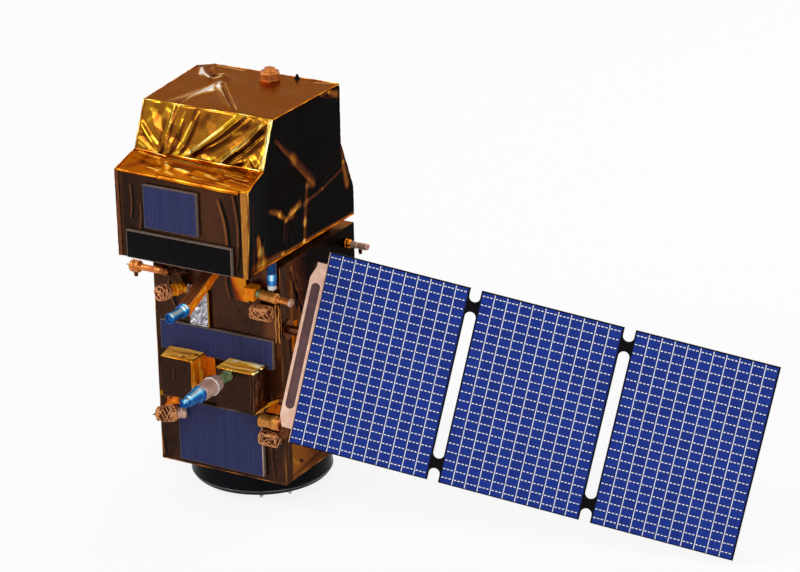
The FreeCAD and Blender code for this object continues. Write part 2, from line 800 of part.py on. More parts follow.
def make_lower_group(bus, plate):
    """The lower thrusters: a braided can on the left, a nozzle and a knot on the right."""
    can = turned("LowCan", [
        ("0", "-LowCanRootRadius"),
        ("LowCanRootRadius", "-LowCanRootRadius"),
        ("LowCanRootRadius", "LowCanLength - LowCanEndLength"),
        ("LowCanEndRadius", "LowCanLength - LowCanEndLength"),
        ("LowCanEndRadius", "LowCanLength - 2 * Bevel"),
        ("LowCanEndRadius - 2 * Bevel", "LowCanLength"),
        ("NubRadius / 2", "LowCanLength"),
        ("0", "LowCanLength + SpikeLength"),
    ])
    aim(can, slanted("LowCanAngle"), "LowCanShift", f"{FRONT} - LowCanAhead",
        f"{BUS_TOP} - LowCanBelowTop")
    coped = cut("LowCanOnBus", can, bus)
    keep(cut("LowCanCoped", coped, plate), "thruster_can_lower")
    start = "LowerPlateShift + BusWidth / 2 - LowerPlateMargin + LowNozzleGap"
    y = f"{FRONT} - LowBandRadius"
    z = f"{BUS_TOP} - LowNozzleBelowTop"
    nozzle = turned("LowNozzle", stepped([
        ("LowNozzleRadius", "(LowNozzleLength - 2 * LowBandLength)"),
        ("LowBandRadius", "LowBandLength"),
        ("LowNozzleRadius", "LowBandLength"),
    ]))
    aim(nozzle, TURNS["X"], start, y, z)
    elbow = block(
        "Elbow", f"{start} + LowNozzleLength", f"{y} - ElbowWidth / 2",
        f"{z} - ElbowDrop", "ElbowLength", "ElbowWidth", "ElbowDrop")
    keep(fuse("LowNozzleFused", nozzle, elbow), "thruster_nozzle_lower")
    knot = make_knot("KnotLower", "LowKnotRadius", "LowKnotLength")
    aim(knot, TURNS["X"], start, f"{FRONT} - LowKnotRadius",
        f"{z} - LowBandRadius - LowKnotRadius - LowKnotGap")
    keep(knot, "braided_knot_lower")


def make_back_tubes():
    """A short thruster tube near each back corner, with a nub below it."""
    y = f"{BACK} - BackTubeInset"
    z = f"{BUS_TOP} - BackTubeBelowTop"
    for side, along, face, sign in (("right", "X", RIGHT, 1), ("left", "-X", LEFT, -1)):
        tube = turned(f"BackTube{side}", stepped([
            ("BackCollarRadius", "BackCollarLength"),
            ("BackTubeRadius", "(BackTubeLength - BackCollarLength)"),
        ]))
        aim(tube, TURNS[along], face, y, z)
        nub = rod(
            f"BackNub{side}", "-Z", f"{face} + {sign} * BackNubPlace", y, z,
            "NubRadius", "BackTubeRadius + NubLength / 2")
        keep(fuse(f"Back{side}", tube, nub), f"thruster_back_{side}")


def make_top():
    """The hexagonal knob and the small dark cone near the hood's back edge."""
    knob = doc.addObject("Part::Prism", "TopKnobHex")
    knob.Polygon = KNOB_SIDES
    bind(knob, Circumradius="TopKnobWidth / 2", Height="TopKnobHeight")
    y = f"{HOOD_BACK} - TopKnobInset"
    place(knob, "TopKnobShift", y, HOOD_TOP)
    crown = taper(
        "TopKnobCrown", "Z", "TopKnobShift", y, f"{HOOD_TOP} + TopKnobHeight",
        "TopCrownRadius", "TopCrownRadius - Bevel", "TopCrownHeight")
    keep(fuse("TopKnob", knob, crown), "top_knob")
    keep(taper(
        "TopCone", "Z", "TopConeShift", f"{HOOD_BACK} - TopConeInset", HOOD_TOP,
        "TopConeRadius", "TopConeRadius / 4", "TopConeHeight"), "top_cone")


def wing_frame():
    """Where the wing lies: X along it, Y across it, Z out of its cell side."""
    turn = Rotation(Vector(1, 0, 0), value("WingTurnAngle"))
    cant = Rotation(Vector(0, 0, 1), value("WingCantAngle"))
    stand = Rotation(Vector(1, 0, 0), 90)
    tip = Rotation(Vector(0, 0, 1), value("WingTipAngle"))
    root = Vector(
        value(f"{RIGHT} + WingReach"), value(f"{SHAFT_Y} - WingAhead"),
        value(f"{SHAFT_Z} - WingDrop"))
    return Placement(root, turn.multiply(cant).multiply(stand).multiply(tip))


def make_panel(frame):
    """The one routed plate that holds three panels by pairs of ties."""
    step = "(PanelLength + PanelGap)"
    half = "(PanelHeight / 2)"
    end = "(PanelGap / 2)"
    panel = body("Panel")
    plate = sketch_on(panel, "PanelPlate", "XY")
    draw_outline(plate, rectangle("0", f"-{half}", f"{PANELS} * {step} - PanelGap", half))
    pad(panel, "PanelPad", plate, "PanelThick", reverse=True)
    doc.recompute()
    inner = f"({half} - TieInset - TieHeight / 2 - {end})"
    outer = f"({half} - TieInset + TieHeight / 2 + {end})"
    beyond = f"({half} + PanelGap)"
    for index in range(1, PANELS):
        middle = f"{index} * {step} - {end}"
        for name, low, high in (
            ("Slot", f"-{inner}", inner),
            ("NotchTop", outer, beyond),
            ("NotchBottom", f"-{beyond}", f"-{outer}"),
        ):
            opening = sketch_on(panel, f"{name}{index}", "XY")
            draw_slot(opening, middle, low, high, end)
            pocket_through(panel, f"{name}Cut{index}", opening)
    panel.Placement = frame
    keep(panel, "wing_panel")


def make_cells(frame):
    """A thin sheet of cells on each panel, grooved between its columns."""
    low = "(CellMargin - PanelHeight / 2)"
    high = "(PanelHeight / 2 - CellMargin)"
    pitch = f"((PanelLength - 2 * CellMargin) / {CELL_COLUMNS})"
    for index, label in enumerate(("inner", "middle", "outer")):
        left = f"({index} * (PanelLength + PanelGap) + CellMargin)"
        cells = body(f"Cells{index}")
        field = sketch_on(cells, f"CellField{index}", "XY")
        draw_outline(field, rectangle(
            left, low, f"{left} + PanelLength - 2 * CellMargin", high))
        pad(cells, f"CellPad{index}", field, "CellThick")
        groove = sketch_on(cells, f"Groove{index}", "XY")
        groove.setExpression("AttachmentOffset.Base.z", linked("CellThick - CellGrooveDepth"))
        draw_outline(groove, rectangle(
            f"{left} + {pitch} - CellGrooveWidth / 2", low,
            f"{left} + {pitch} + CellGrooveWidth / 2", high))
        cut_up = cells.newObject("PartDesign::Pocket", f"GrooveCut{index}")
        cut_up.Profile = groove
        cut_up.Reversed = True
        bind(cut_up, Length="CellThick")
        doc.recompute()
        row = cells.newObject("PartDesign::LinearPattern", f"Grooves{index}")
        row.Originals = [cut_up]
        row.Direction = (field, ["H_Axis"])
        row.Occurrences = CELL_COLUMNS - 1
        bind(row, Length=f"{pitch} * {CELL_COLUMNS - 2}")
        cells.Tip = row
        cells.Placement = frame
        keep(cells, f"cells_{label}")


def make_yoke(frame):
    """The slotted yoke plate along the inner panel's edge."""
    top = "(PanelHeight / 2 - YokeTopInset)"
    bottom = "(YokeBottomInset - PanelHeight / 2)"
    yoke = body("Yoke")
    rim = sketch_on(yoke, "YokeOutline", "XY")
    draw_outline(rim, [
        ("0", bottom),
        ("0", top),
        ("-YokeWidth + YokeNotch", top),
        ("-YokeWidth + YokeNotch", f"{top} - YokeNotch"),
        ("-YokeWidth", f"{top} - YokeNotch - YokeTaper"),
        ("-YokeWidth", f"{bottom} + YokeTaper"),
        ("-YokeWidth + YokeNotch", bottom),
    ])
    pad(yoke, "YokePad", rim, "YokeThick", reverse=True)
    opening = sketch_on(yoke, "YokeSlot", "XY")
    reach = "(PanelHeight / 2 - YokeSlotEnd - YokeSlotWidth / 2)"
    draw_slot(opening, "-YokeSlotInset", f"-{reach}", reach, "YokeSlotWidth / 2")
    pocket_through(yoke, "YokeSlotCut", opening)
    yoke.Placement = frame
    keep(yoke, "wing_yoke")


def make_hub(frame):
    """The hub block behind the yoke, bored for the shaft that ends in its middle."""
    blank = Part.makeBox(
        value("YokeWidth + HubReach"), value("HubWidth"), value("HubThick"),
        Vector(value("-YokeWidth"), value("HubShift - HubWidth / 2"),
               value("-YokeThick - HubThick")))
    blank.Placement = frame.multiply(blank.Placement)
    start = Vector(value(f"{RIGHT} - ShaftDepth"), value(SHAFT_Y), value(SHAFT_Z))
    length = (blank.BoundBox.XMin + blank.BoundBox.XMax) / 2 - start.x
    round_bar = Part.makeCylinder(value("ShaftRadius"), length, start, Vector(1, 0, 0))
    hub = doc.addObject("Part::Feature", "Hub")
    hub.Shape = blank.cut(round_bar)
    keep(hub, "wing_hub")
    shaft = doc.addObject("Part::Feature", "Shaft")
    shaft.Shape = round_bar
    keep(shaft, "wing_shaft")


def check_and_write():
    """Stop on any failed object or shape; otherwise write one file for each sub-part."""
    for obj in doc.Objects:
        if {"Invalid", "Error"} & set(obj.State):
            raise RuntimeError(f"{obj.Name} did not compute: {obj.State}")
    for obj in subparts:
        if obj.Shape.isNull() or not obj.Shape.isValid() or not obj.Shape.Solids:
            raise RuntimeError(f"{obj.Label} has no valid solid")
    os.makedirs("parts", exist_ok=True)
    for obj in subparts:
        obj.Shape.exportStep(f"parts/{obj.Label}.step")
        box = obj.Shape.BoundBox
        print(
            f"{obj.Label:22s} {len(obj.Shape.Solids)} {obj.Shape.Volume:11.1f}"
            f"  x {box.XMin:6.1f} {box.XMax:6.1f}"
            f"  y {box.YMin:6.1f} {box.YMax:6.1f}"
            f"  z {box.ZMin:6.1f} {box.ZMax:6.1f}")


make_drum()
make_pegs()
bus_box = make_bus()
make_flange()
make_hood()
plates = make_plates()
make_cases(plates["radiator_upper"])
make_antenna()
make_arm()
make_right_group()
make_left_group(bus_box)
make_lower_group(bus_box, plates["radiator_lower"])
make_back_tubes()
make_top()
wing_place = wing_frame()
make_panel(wing_place)
make_cells(wing_place)
make_yoke(wing_place)
make_hub(wing_place)
doc.recompute()
check_and_write()
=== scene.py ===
import math

import bmesh
import bpy
import numpy as np
from mathutils import Matrix, Vector


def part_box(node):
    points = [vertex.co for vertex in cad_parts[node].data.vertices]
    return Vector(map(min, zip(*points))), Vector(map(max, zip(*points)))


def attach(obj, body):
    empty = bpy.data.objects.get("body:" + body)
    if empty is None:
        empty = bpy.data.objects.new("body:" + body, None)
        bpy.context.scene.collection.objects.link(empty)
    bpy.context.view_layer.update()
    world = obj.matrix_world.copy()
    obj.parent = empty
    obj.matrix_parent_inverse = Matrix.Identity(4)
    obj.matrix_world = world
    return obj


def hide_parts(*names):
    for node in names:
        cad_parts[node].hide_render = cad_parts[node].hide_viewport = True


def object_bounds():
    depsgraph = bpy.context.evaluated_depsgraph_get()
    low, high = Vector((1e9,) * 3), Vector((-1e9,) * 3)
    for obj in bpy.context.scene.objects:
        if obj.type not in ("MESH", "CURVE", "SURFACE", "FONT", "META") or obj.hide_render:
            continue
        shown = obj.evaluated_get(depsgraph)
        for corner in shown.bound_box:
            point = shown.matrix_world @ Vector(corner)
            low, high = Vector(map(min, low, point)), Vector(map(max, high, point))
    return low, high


# The looks of the satellite model: creased film over the bus and the hood, tiled cells and
# radiators, turned fittings and wound copper wire. Sizes are in millimetres, as in the CAD
# model, until a mesh is made. X runs right, Y back and Z up.

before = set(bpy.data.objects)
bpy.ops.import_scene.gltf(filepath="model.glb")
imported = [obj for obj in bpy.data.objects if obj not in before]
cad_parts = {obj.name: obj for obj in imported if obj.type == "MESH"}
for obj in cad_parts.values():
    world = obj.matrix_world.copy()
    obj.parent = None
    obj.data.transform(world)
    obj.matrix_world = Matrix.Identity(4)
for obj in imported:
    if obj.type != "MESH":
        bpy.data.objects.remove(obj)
cad_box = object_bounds()

MM = 0.001
BUS, WING = "spacecraft", "solar_wing"
RIGHT, LEFT, BACK = (1, 0, 0), (-1, 0, 0), (0, 1, 0)
FORWARD, UP, DOWN = (0, -1, 0), (0, 0, 1), (0, 0, -1)
FULL_TURN = 2 * math.pi


def corner_mm(node):
    """The low and high corners of a CAD node, in millimetres."""
    low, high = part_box(node)
    return np.array(low) / MM, np.array(high) / MM


# Materials


class Nodes:
    """A node tree, built with short calls."""

    def __init__(self, tree):
        self.tree = tree

    def feed(self, socket, source):
        if isinstance(source, bpy.types.NodeSocket):
            self.tree.links.new(source, socket)
        else:
            socket.default_value = source

    def node(self, kind, settings=None, **inputs):
        made = self.tree.nodes.new(f"ShaderNode{kind}")
        for key, amount in (settings or {}).items():
            setattr(made, key, amount)
        for socket, source in inputs.items():
            self.feed(made.inputs[socket.replace("_", " ")], source)
        return made

    def math(self, operation, *sources):
        made = self.node("Math", {"operation": operation})
        for socket, source in zip(made.inputs, sources):
            self.feed(socket, source)
        return made.outputs["Value"]

    def backdrop_share(self):
        """1 for the camera's rays, also by way of a mirror or glass."""
        rays = self.node("LightPath").outputs
        seen = self.math("MAXIMUM", rays["Is Camera Ray"], rays["Is Glossy Ray"])
        return self.math("MAXIMUM", seen, rays["Is Transmission Ray"])

    def blend(self, output, *sources):
        """Ends the tree in a mix: the sources are the share and the two shaders."""
        mixed = self.node("MixShader")
        for socket, source in zip(mixed.inputs, sources):
            self.feed(socket, source)
        self.feed(self.tree.nodes[output].inputs["Surface"], mixed.outputs["Shader"])


class Shade(Nodes):
    """A material round one Principled surface."""

    def __init__(self, name, **surface):
        self.material = bpy.data.materials.new(name)
        self.material.use_nodes = True
        super().__init__(self.material.node_tree)
        self.surface = self.tree.nodes["Principled BSDF"]
        self.finish(**surface)

    def finish(self, **inputs):
        for socket, source in inputs.items():
            self.feed(self.surface.inputs[socket.replace("_", " ")], source)
        return self.material

    def noise(self, scale, detail=4, stretch=(1, 1, 1)):
        """Noise over the object's own millimetres, which can be stretched."""
        spot = self.node("TexCoord").outputs["Object"]
        size = tuple(1 / MM * part for part in stretch)
        place = self.node("Mapping", Vector=spot, Scale=size).outputs["Vector"]
        return self.node("TexNoise", Vector=place, Scale=scale, Detail=detail).outputs["Fac"]

    def ramp(self, factor, stops):
        """Colours along a factor. A stop is its place, red, green and blue."""
        made = self.node("ValToRGB", Fac=factor)
        bar = made.color_ramp.elements
        while len(bar) < len(stops):
            bar.new(0.5)
        for element, (place, *colour) in zip(bar, stops):
            element.position = place
            element.color = (*colour, 1)
        return made.outputs["Color"]

    def span(self, factor, low, high):
        """A factor from 0 to 1 spread between two numbers."""
        return self.node("MapRange", Value=factor, To_Min=low, To_Max=high).outputs["Result"]

    def bump(self, height, strength, distance=0.1):
        made = self.node("Bump", Height=height, Strength=strength, Distance=distance * MM)
        return made.outputs["Normal"]


def film_shade(name, metallic, stops, tint=(0.58, 0.47, 0.38), gloss=0.3):
    """Metallised film: its colour is painted light and shade from how it tilts, kept in 'lit'."""
    shade = Shade(name, Metallic=metallic, Specular_Tint=(*tint, 1), Specular_IOR_Level=gloss)
    lit = shade.node("Attribute", {"attribute_name": "lit"}).outputs["Fac"]
    lit = shade.math("MULTIPLY_ADD", shade.noise(0.35, 5), 0.1, lit)
    return shade.finish(
        Base_Color=shade.ramp(shade.math("ADD", lit, -0.05), stops),
        Roughness=shade.span(shade.noise(0.12, 3), 0.16, 0.34),
        Normal=shade.bump(shade.noise(0.8), 0.25, 0.15))


def plain_shade(name, light, dark, metallic, low, high, grain, bump, **surface):
    """A finish that varies a little in colour, gloss and grain."""
    shade = Shade(name, Metallic=metallic, **surface)
    return shade.finish(
        Base_Color=shade.ramp(shade.noise(grain, 5), [(0.3, *dark), (0.7, *light)]),
        Roughness=shade.span(shade.noise(grain * 2, 3), low, high),
        Normal=shade.bump(shade.noise(grain * 5), bump))


def tile_shade(name, light, dark, low, high, gloss, lines=0):
    """Printed tiles that each differ a little, with fine upright lines or without."""
    shade = Shade(name, Specular_IOR_Level=gloss)
    island = shade.node("NewGeometry").outputs["Random Per Island"]
    tone = shade.math("MULTIPLY_ADD", island, 0.4, 0.15)
    tone = shade.math("MULTIPLY_ADD", shade.noise(0.3), 0.7, tone)
    if lines:
        shade.finish(Normal=shade.bump(shade.noise(lines, 2, (1, 0.02, 0.02)), 0.2))
    return shade.finish(
        Base_Color=shade.ramp(tone, [(0.3, *dark), (1, *light)]),
        Roughness=shade.span(shade.noise(0.5, 3), low, high))


FILM_BROWN = film_shade("film_brown", 0.85, (
    (0, 0.004, 0.0032, 0.0026), (0.22, 0.022, 0.011, 0.008), (0.42, 0.14, 0.048, 0.02),
    (0.62, 0.35, 0.115, 0.022), (0.82, 0.8, 0.4, 0.06), (1, 1, 0.92, 0.7)))
# Painted light: brighter copies of the films, with little metal, for pieces in the hood's shade.
BROWN_FILM_PAINTED_LIT = film_shade("brown_film_painted_lit", 0.1, (
    (0, 0.05, 0.014, 0.006), (0.4, 0.3, 0.085, 0.028), (0.7, 0.62, 0.24, 0.07),
    (1, 1, 0.65, 0.3)), gloss=0.12)
# Painted shade: a darker copy of the film for the sides of the hood and the bus.
FILM_SIDE_PAINTED_SHADE = film_shade("film_side_painted_shade", 0.9, (
    (0, 0.0024, 0.0022, 0.002), (0.2, 0.01, 0.006, 0.005), (0.4, 0.11, 0.038, 0.016),
    (0.6, 0.29, 0.1, 0.022), (0.8, 0.56, 0.24, 0.026), (1, 0.9, 0.5, 0.11)), (0.42, 0.36, 0.32))
# Painted light: a paler copy of the film for the hood's top.
FILM_ROOF_PAINTED_LIGHT = film_shade("film_roof_painted_light", 1, (
    (0, 0.01, 0.006, 0.005), (0.3, 0.09, 0.032, 0.016), (0.52, 0.245, 0.078, 0.018),
    (0.7, 0.52, 0.25, 0.07), (0.85, 0.9, 0.68, 0.38), (1, 1, 1, 0.95)), (0.6, 0.46, 0.42))
FILM_GOLD = film_shade("film_gold", 1, (
    (0, 0.02, 0.005, 0.002), (0.2, 0.09, 0.024, 0.005), (0.4, 0.24, 0.08, 0.008),
    (0.6, 0.5, 0.23, 0.014), (0.8, 0.88, 0.58, 0.04), (1, 1, 0.93, 0.48)))
FILM_ORANGE = film_shade("film_orange", 1, (
    (0, 0.06, 0.008, 0.002), (0.25, 0.25, 0.045, 0.004), (0.5, 0.56, 0.15, 0.008),
    (0.75, 0.92, 0.4, 0.025), (1, 1, 0.86, 0.36)))
# Painted light: brighter gold and orange films with little metal, for pieces in the hood's shade.
GOLD_FILM_PAINTED_LIT = film_shade("gold_film_painted_lit", 0.1, (
    (0, 0.12, 0.035, 0.006), (0.3, 0.48, 0.19, 0.016), (0.55, 0.86, 0.4, 0.03),
    (0.8, 1, 0.74, 0.2), (1, 1, 1, 0.9)), gloss=0.2)
ORANGE_FILM_PAINTED_LIT = film_shade("orange_film_painted_lit", 0.05, (
    (0, 0.06, 0.01, 0.004), (0.25, 0.3, 0.04, 0.006), (0.5, 0.95, 0.21, 0.004),
    (0.75, 1, 0.38, 0.01), (1, 1, 0.78, 0.26)), gloss=0.1)
FILM_BLUE = film_shade("film_blue", 0.5, (
    (0, 0.002, 0.01, 0.04), (0.3, 0.004, 0.06, 0.24), (0.55, 0.02, 0.24, 0.62),
    (0.78, 0.2, 0.62, 0.95), (1, 0.9, 1, 1)), (0.8, 0.9, 1))
FILM_COPPER = film_shade("film_copper", 0.6, (
    (0, 0.03, 0.01, 0.006), (0.25, 0.15, 0.042, 0.014), (0.5, 0.46, 0.13, 0.03),
    (0.75, 0.92, 0.37, 0.1), (1, 1, 0.88, 0.6)))
FILM_SILVER = film_shade("film_silver", 1, (
    (0, 0.06, 0.05, 0.06), (0.4, 0.3, 0.29, 0.33), (0.7, 0.7, 0.7, 0.74), (1, 1, 1, 1)))
WARM = {"Specular_Tint": (0.7, 0.6, 0.55, 1)}
BLACK_GLOSS = plain_shade(
    "black_gloss", (0.006, 0.006, 0.008), (0.004, 0.004, 0.005), 0, 0.2, 0.36, 0.05, 0.03,
    Specular_IOR_Level=0.02)
BLACK_SATIN = plain_shade(
    "black_satin", (0.0065, 0.0055, 0.0065), (0.0035, 0.003, 0.0035), 0, 0.4, 0.6, 0.4, 0.1,
    Specular_IOR_Level=0.03)
# Painted highlight: a lighter black that draws a highlight line on the drum's lip.
BLACK_LIP_PAINTED_HIGHLIGHT = plain_shade(
    "black_lip_painted_highlight", (0.03, 0.028, 0.034), (0.012, 0.012, 0.015), 0.2, 0.16, 0.3, 0.05, 0.05)
COPPER = plain_shade(
    "copper", (0.82, 0.27, 0.06), (0.42, 0.105, 0.02), 0.65, 0.18, 0.34, 0.3, 0.1, **WARM)
COPPER_WIRE = plain_shade(
    "copper_wire", (1, 0.47, 0.19), (0.24, 0.058, 0.018), 0.65, 0.12, 0.26, 1.6, 0.2, **WARM)
BRASS = plain_shade(
    "warm_brass", (0.82, 0.35, 0.065), (0.43, 0.145, 0.022), 0.45, 0.2, 0.34, 0.12, 0.03,
    Specular_Tint=(0.7, 0.6, 0.5, 1))
PALE_METAL = plain_shade(
    "pale_metal", (0.78, 0.72, 0.7), (0.48, 0.42, 0.4), 0.5, 0.24, 0.4, 0.25, 0.08)
ROSE_METAL = plain_shade(
    "rose_metal", (0.7, 0.45, 0.34), (0.42, 0.25, 0.19), 0.45, 0.24, 0.4, 0.25, 0.08)
DARK_COPPER = plain_shade(
    "dark_copper", (0.19, 0.062, 0.026), (0.06, 0.018, 0.009), 1, 0.25, 0.45, 0.4, 0.15, **WARM)
BEIGE_EDGE = plain_shade(
    "beige_edge", (0.23, 0.16, 0.12), (0.11, 0.075, 0.058), 0, 0.45, 0.6, 0.5, 0.15,
    Specular_IOR_Level=0.2)
GREEN_METAL = plain_shade(
    "green_metal", (0.4, 0.52, 0.25), (0.08, 0.15, 0.05), 0.5, 0.18, 0.32, 0.3, 0.08)
RECESS = plain_shade(
    "recess_mauve", (0.135, 0.066, 0.07), (0.09, 0.042, 0.046), 0, 0.45, 0.6, 0.1, 0.08,
    Specular_IOR_Level=0.2)
YOKE_COPPER = plain_shade(
    "yoke_copper", (0.88, 0.59, 0.45), (0.69, 0.4, 0.29), 0.5, 0.35, 0.5, 0.12, 0.08)
RADIATOR = tile_shade(
    "radiator", (0.032, 0.036, 0.115), (0.022, 0.025, 0.08), 0.4, 0.55, 0.12, 2)
CELL = tile_shade("cell", (0.007, 0.032, 0.27), (0.005, 0.021, 0.185), 0.25, 0.4, 0.15)
CELL_GAP = plain_shade(
    "cell_gap", (0.004, 0.01, 0.05), (0.003, 0.007, 0.035), 0, 0.4, 0.55, 0.5, 0.1,
    Specular_IOR_Level=0.15)
CELL_LINE = plain_shade(
    "cell_line", (0.96, 0.965, 1), (0.84, 0.855, 0.94), 0, 0.4, 0.55, 0.8, 0.1)


# Meshes


def add_object(name, mesh, material, stands_for="", body=BUS):
    """A finished piece that rides on a body and may stand for a CAD node."""
    made = bpy.data.objects.new(name, mesh)
    bpy.context.scene.collection.objects.link(made)
    mesh.materials.append(material)
    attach(made, body)
    if stands_for:
        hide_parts(stands_for)
    return made


def mesh_of(name, spots, faces, smooth=True):
    """A mesh from points in millimetres."""
    mesh = bpy.data.meshes.new(name)
    mesh.from_pydata([tuple(spot) for spot in np.asarray(spots) * MM], [], faces)
    mesh.update()
    if smooth:
        mesh.shade_smooth()
    return mesh


def upright(axis):
    """The turn that carries +Z to an axis."""
    return Vector(axis).normalized().to_track_quat("Z", "Y").to_matrix()


def ring_faces(first, rings, sides):
    """Faces that join one ring of points to the next, with a cap at each end."""
    faces = []
    for near in range(first, first + (rings - 1) * sides, sides):
        for step in range(sides):
            after = (step + 1) % sides
            faces.append((near + step, near + after, near + sides + after, near + sides + step))
    last = first + (rings - 1) * sides
    faces.append(tuple(first + step for step in reversed(range(sides))))
    faces.append(tuple(last + step for step in range(sides)))
    return faces


def rounded(profile, radius):
    """The profile with its corners cut round."""
    points = [Vector(point) for point in profile]
    result = [points[0]]
    for before, corner, after in zip(points, points[1:], points[2:]):
        back, ahead = before - corner, after - corner
        cut = min(radius, back.length * 0.45, ahead.length * 0.45)
        start = corner + back.normalized() * cut if back.length else corner
        end = corner + ahead.normalized() * cut if ahead.length else corner
        for t in (0, 1 / 3, 2 / 3, 1):
            result.append(start.lerp(corner, t).lerp(corner.lerp(end, t), t))
    result.append(points[-1])
    return [tuple(point) for point in result]


def lathe(name, profile, origin, axis, material, segments, stands_for="", bevel=0.5):
    """A turned piece: a profile of (radius, distance) pairs about an axis from an origin."""
    profile = rounded(profile, bevel) if bevel else profile
    turn = upright(axis)
    spots = []
    for radius, rise in profile:
        for step in range(segments):
            angle = FULL_TURN * step / segments
            spot = Vector((radius * math.cos(angle), radius * math.sin(angle), rise))
            spots.append(Vector(origin) + turn @ spot)
    mesh = mesh_of(name, spots, ring_faces(0, len(profile), segments))
    mesh.set_sharp_from_angle(angle=math.radians(35))
    add_object(name, mesh, material, stands_for)


def tube(name, runs, radius, material, sides=6):
    """Round wire along several runs of points, as one mesh."""
    spots, faces = [], []
    for run in runs:
        path = [Vector(point) for point in run]
        faces += ring_faces(len(spots), len(path), sides)
        side = Vector((0.3, 0.5, 0.8))
        for index, point in enumerate(path):
            ahead = path[min(index + 1, len(path) - 1)] - path[max(index - 1, 0)]
            ahead.normalize()
            side = (side - ahead * side.dot(ahead)).normalized()
            other = ahead.cross(side)
            for step in range(sides):
                angle = FULL_TURN * step / sides
                spots.append(point + (side * math.cos(angle) + other * math.sin(angle)) * radius)
    return add_object(name, mesh_of(name, spots, faces), material)


def slab(name, low, high, bevel, material, stands_for=""):
    """A plate or block with rounded edges."""
    built = bmesh.new()
    bmesh.ops.create_cube(built, size=1)
    bmesh.ops.scale(built, vec=Vector(high) - Vector(low), verts=built.verts)
    bmesh.ops.translate(built, vec=(Vector(high) + Vector(low)) / 2, verts=built.verts)
    bmesh.ops.bevel(
        built, geom=list(built.edges), offset=bevel, segments=3, profile=0.5, affect="EDGES")
    bmesh.ops.scale(built, vec=(MM, MM, MM), verts=built.verts)
    mesh = bpy.data.meshes.new(name)
    built.to_mesh(mesh)
    built.free()
    mesh.shade_smooth()
    mesh.set_sharp_from_angle(angle=math.radians(40))
    add_object(name, mesh, material, stands_for)


# Film


def facets(a, b, seed, size):
    """Flat facets that meet in creases: linear noise on a bent lattice of triangles."""
    table = np.random.default_rng(seed).random((64, 64))
    bend = 0.32 * size
    x = (a + bend * np.sin(1.7 * b / size + seed) + bend * np.sin(0.6 * b / size)) / size
    y = (b + bend * np.sin(1.4 * a / size + 2 * seed) + bend * np.sin(0.5 * a / size)) / size
    i, j = np.floor(x).astype(int), np.floor(y).astype(int)
    u, v = x - i, y - j

    def at(di, dj):
        return table[(i + di) % 64, (j + dj) % 64]

    lower = at(0, 0) * (1 - u - v) + at(1, 0) * u + at(0, 1) * v
    upper = at(1, 1) * (u + v - 1) + at(0, 1) * (1 - u) + at(1, 0) * (1 - v)
    return np.where(u + v > 1, upper, lower) - 0.5


def folds(a, b, rows):
    """Creases along segments. A row is start, end, the two flanks' widths and the height."""
    total = np.zeros_like(a)
    for a0, b0, a1, b1, left, right, height in rows:
        run = np.array([a1 - a0, b1 - b0])
        length = np.hypot(*run)
        run = run / length
        along = (a - a0) * run[0] + (b - b0) * run[1]
        across = (b - b0) * run[0] - (a - a0) * run[1]
        bow = 0.04 * length * np.sin(math.pi * np.clip(along / length, 0, 1))
        across = across + bow * math.copysign(1, height)
        body = np.clip(1 - np.where(across > 0, across / left, -across / right), 0, 1)
        reach = min(1.2 * (left + right), 0.45 * length)
        ends = np.clip(np.minimum(along, length - along) / reach + 0.25, 0, 1)
        total += height * body ** 1.25 * ends
    return total


def streaks(a, b, rows):
    """Painted light bands: start, end, half width at each, and amount (below 0, painted shade)."""
    total = np.zeros_like(a)
    for a0, b0, a1, b1, first, last, amount in rows:
        run = np.array([a1 - a0, b1 - b0])
        share = np.clip(((a - a0) * run[0] + (b - b0) * run[1]) / max(run @ run, 1e-6), 0, 1)
        away = np.hypot(a - a0 - share * run[0], b - b0 - share * run[1])
        total += amount * np.clip(1.4 - away / (first + (last - first) * share), 0, 1)
    return total


def drift(a, b, seed, size):
    """Smooth rise and fall, from a few sine waves that cross at seeded angles."""
    rng = np.random.default_rng(seed)
    total = np.zeros_like(a)
    for _ in range(5):
        angle, phase = rng.uniform(0, math.pi), rng.uniform(0, FULL_TURN)
        reach = size * rng.uniform(0.6, 1.5)
        total += np.sin((a * math.cos(angle) + b * math.sin(angle)) * FULL_TURN / reach + phase)
    return total / 5


def fade(a, b, reach):
    """0 at the edges of a grid, 1 once it is a short way in."""
    near = np.minimum.reduce([a - a.min(), a.max() - a, b - b.min(), b.max() - b])
    return np.clip(near / reach, 0, 1)


def tilt(height, a, b, key):
    """How steeply a sheet leans to a key direction."""
    slope_b = np.gradient(height, axis=0) / np.gradient(b, axis=0)
    slope_a = np.gradient(height, axis=1) / np.gradient(a, axis=1)
    return slope_a * key[0] + slope_b * key[1]


def keep_lit(mesh, lit):
    """Stores the painted light value that a film's colour follows at each point."""
    layer = mesh.attributes.new("lit", "FLOAT", "POINT")
    layer.data.foreach_set("value", lit.ravel().astype(np.float32))


def lit_sheet(name, places, lit, outward, material, stands_for):
    """A mesh over a grid of points, with its painted 'lit' values, facing outward at its middle."""
    rows, columns = lit.shape
    starts = (row * columns + column for row in range(rows - 1) for column in range(columns - 1))
    faces = [(k, k + 1, k + columns + 1, k + columns) for k in starts]
    mesh = mesh_of(name, places.reshape(-1, 3), faces)
    middle = rows // 2 * (columns - 1) + columns // 2
    if mesh.polygons[middle].normal.dot(Vector(outward)) < 0:
        mesh.flip_normals()
    keep_lit(mesh, np.clip(lit, 0, 1))
    add_object(name, mesh, material, stands_for)


def film(name, spots, a, b, normal, height, base, gain, key, material, stands_for):
    """A sheet of film: a grid pushed out along its normal, light painted by how it tilts to a key.
    """
    lit = (base(a, b) if callable(base) else base) + gain * tilt(height, a, b, key)
    lit_sheet(name, spots + height[..., None] * normal, lit, normal, material, stands_for)


def grid(width, tall, step):
    """Flat coordinates over a rectangle."""
    columns, rows = (max(int(reach / step) + 1, 4) for reach in (width, tall))
    return np.meshgrid(np.linspace(0, width, columns), np.linspace(0, tall, rows))


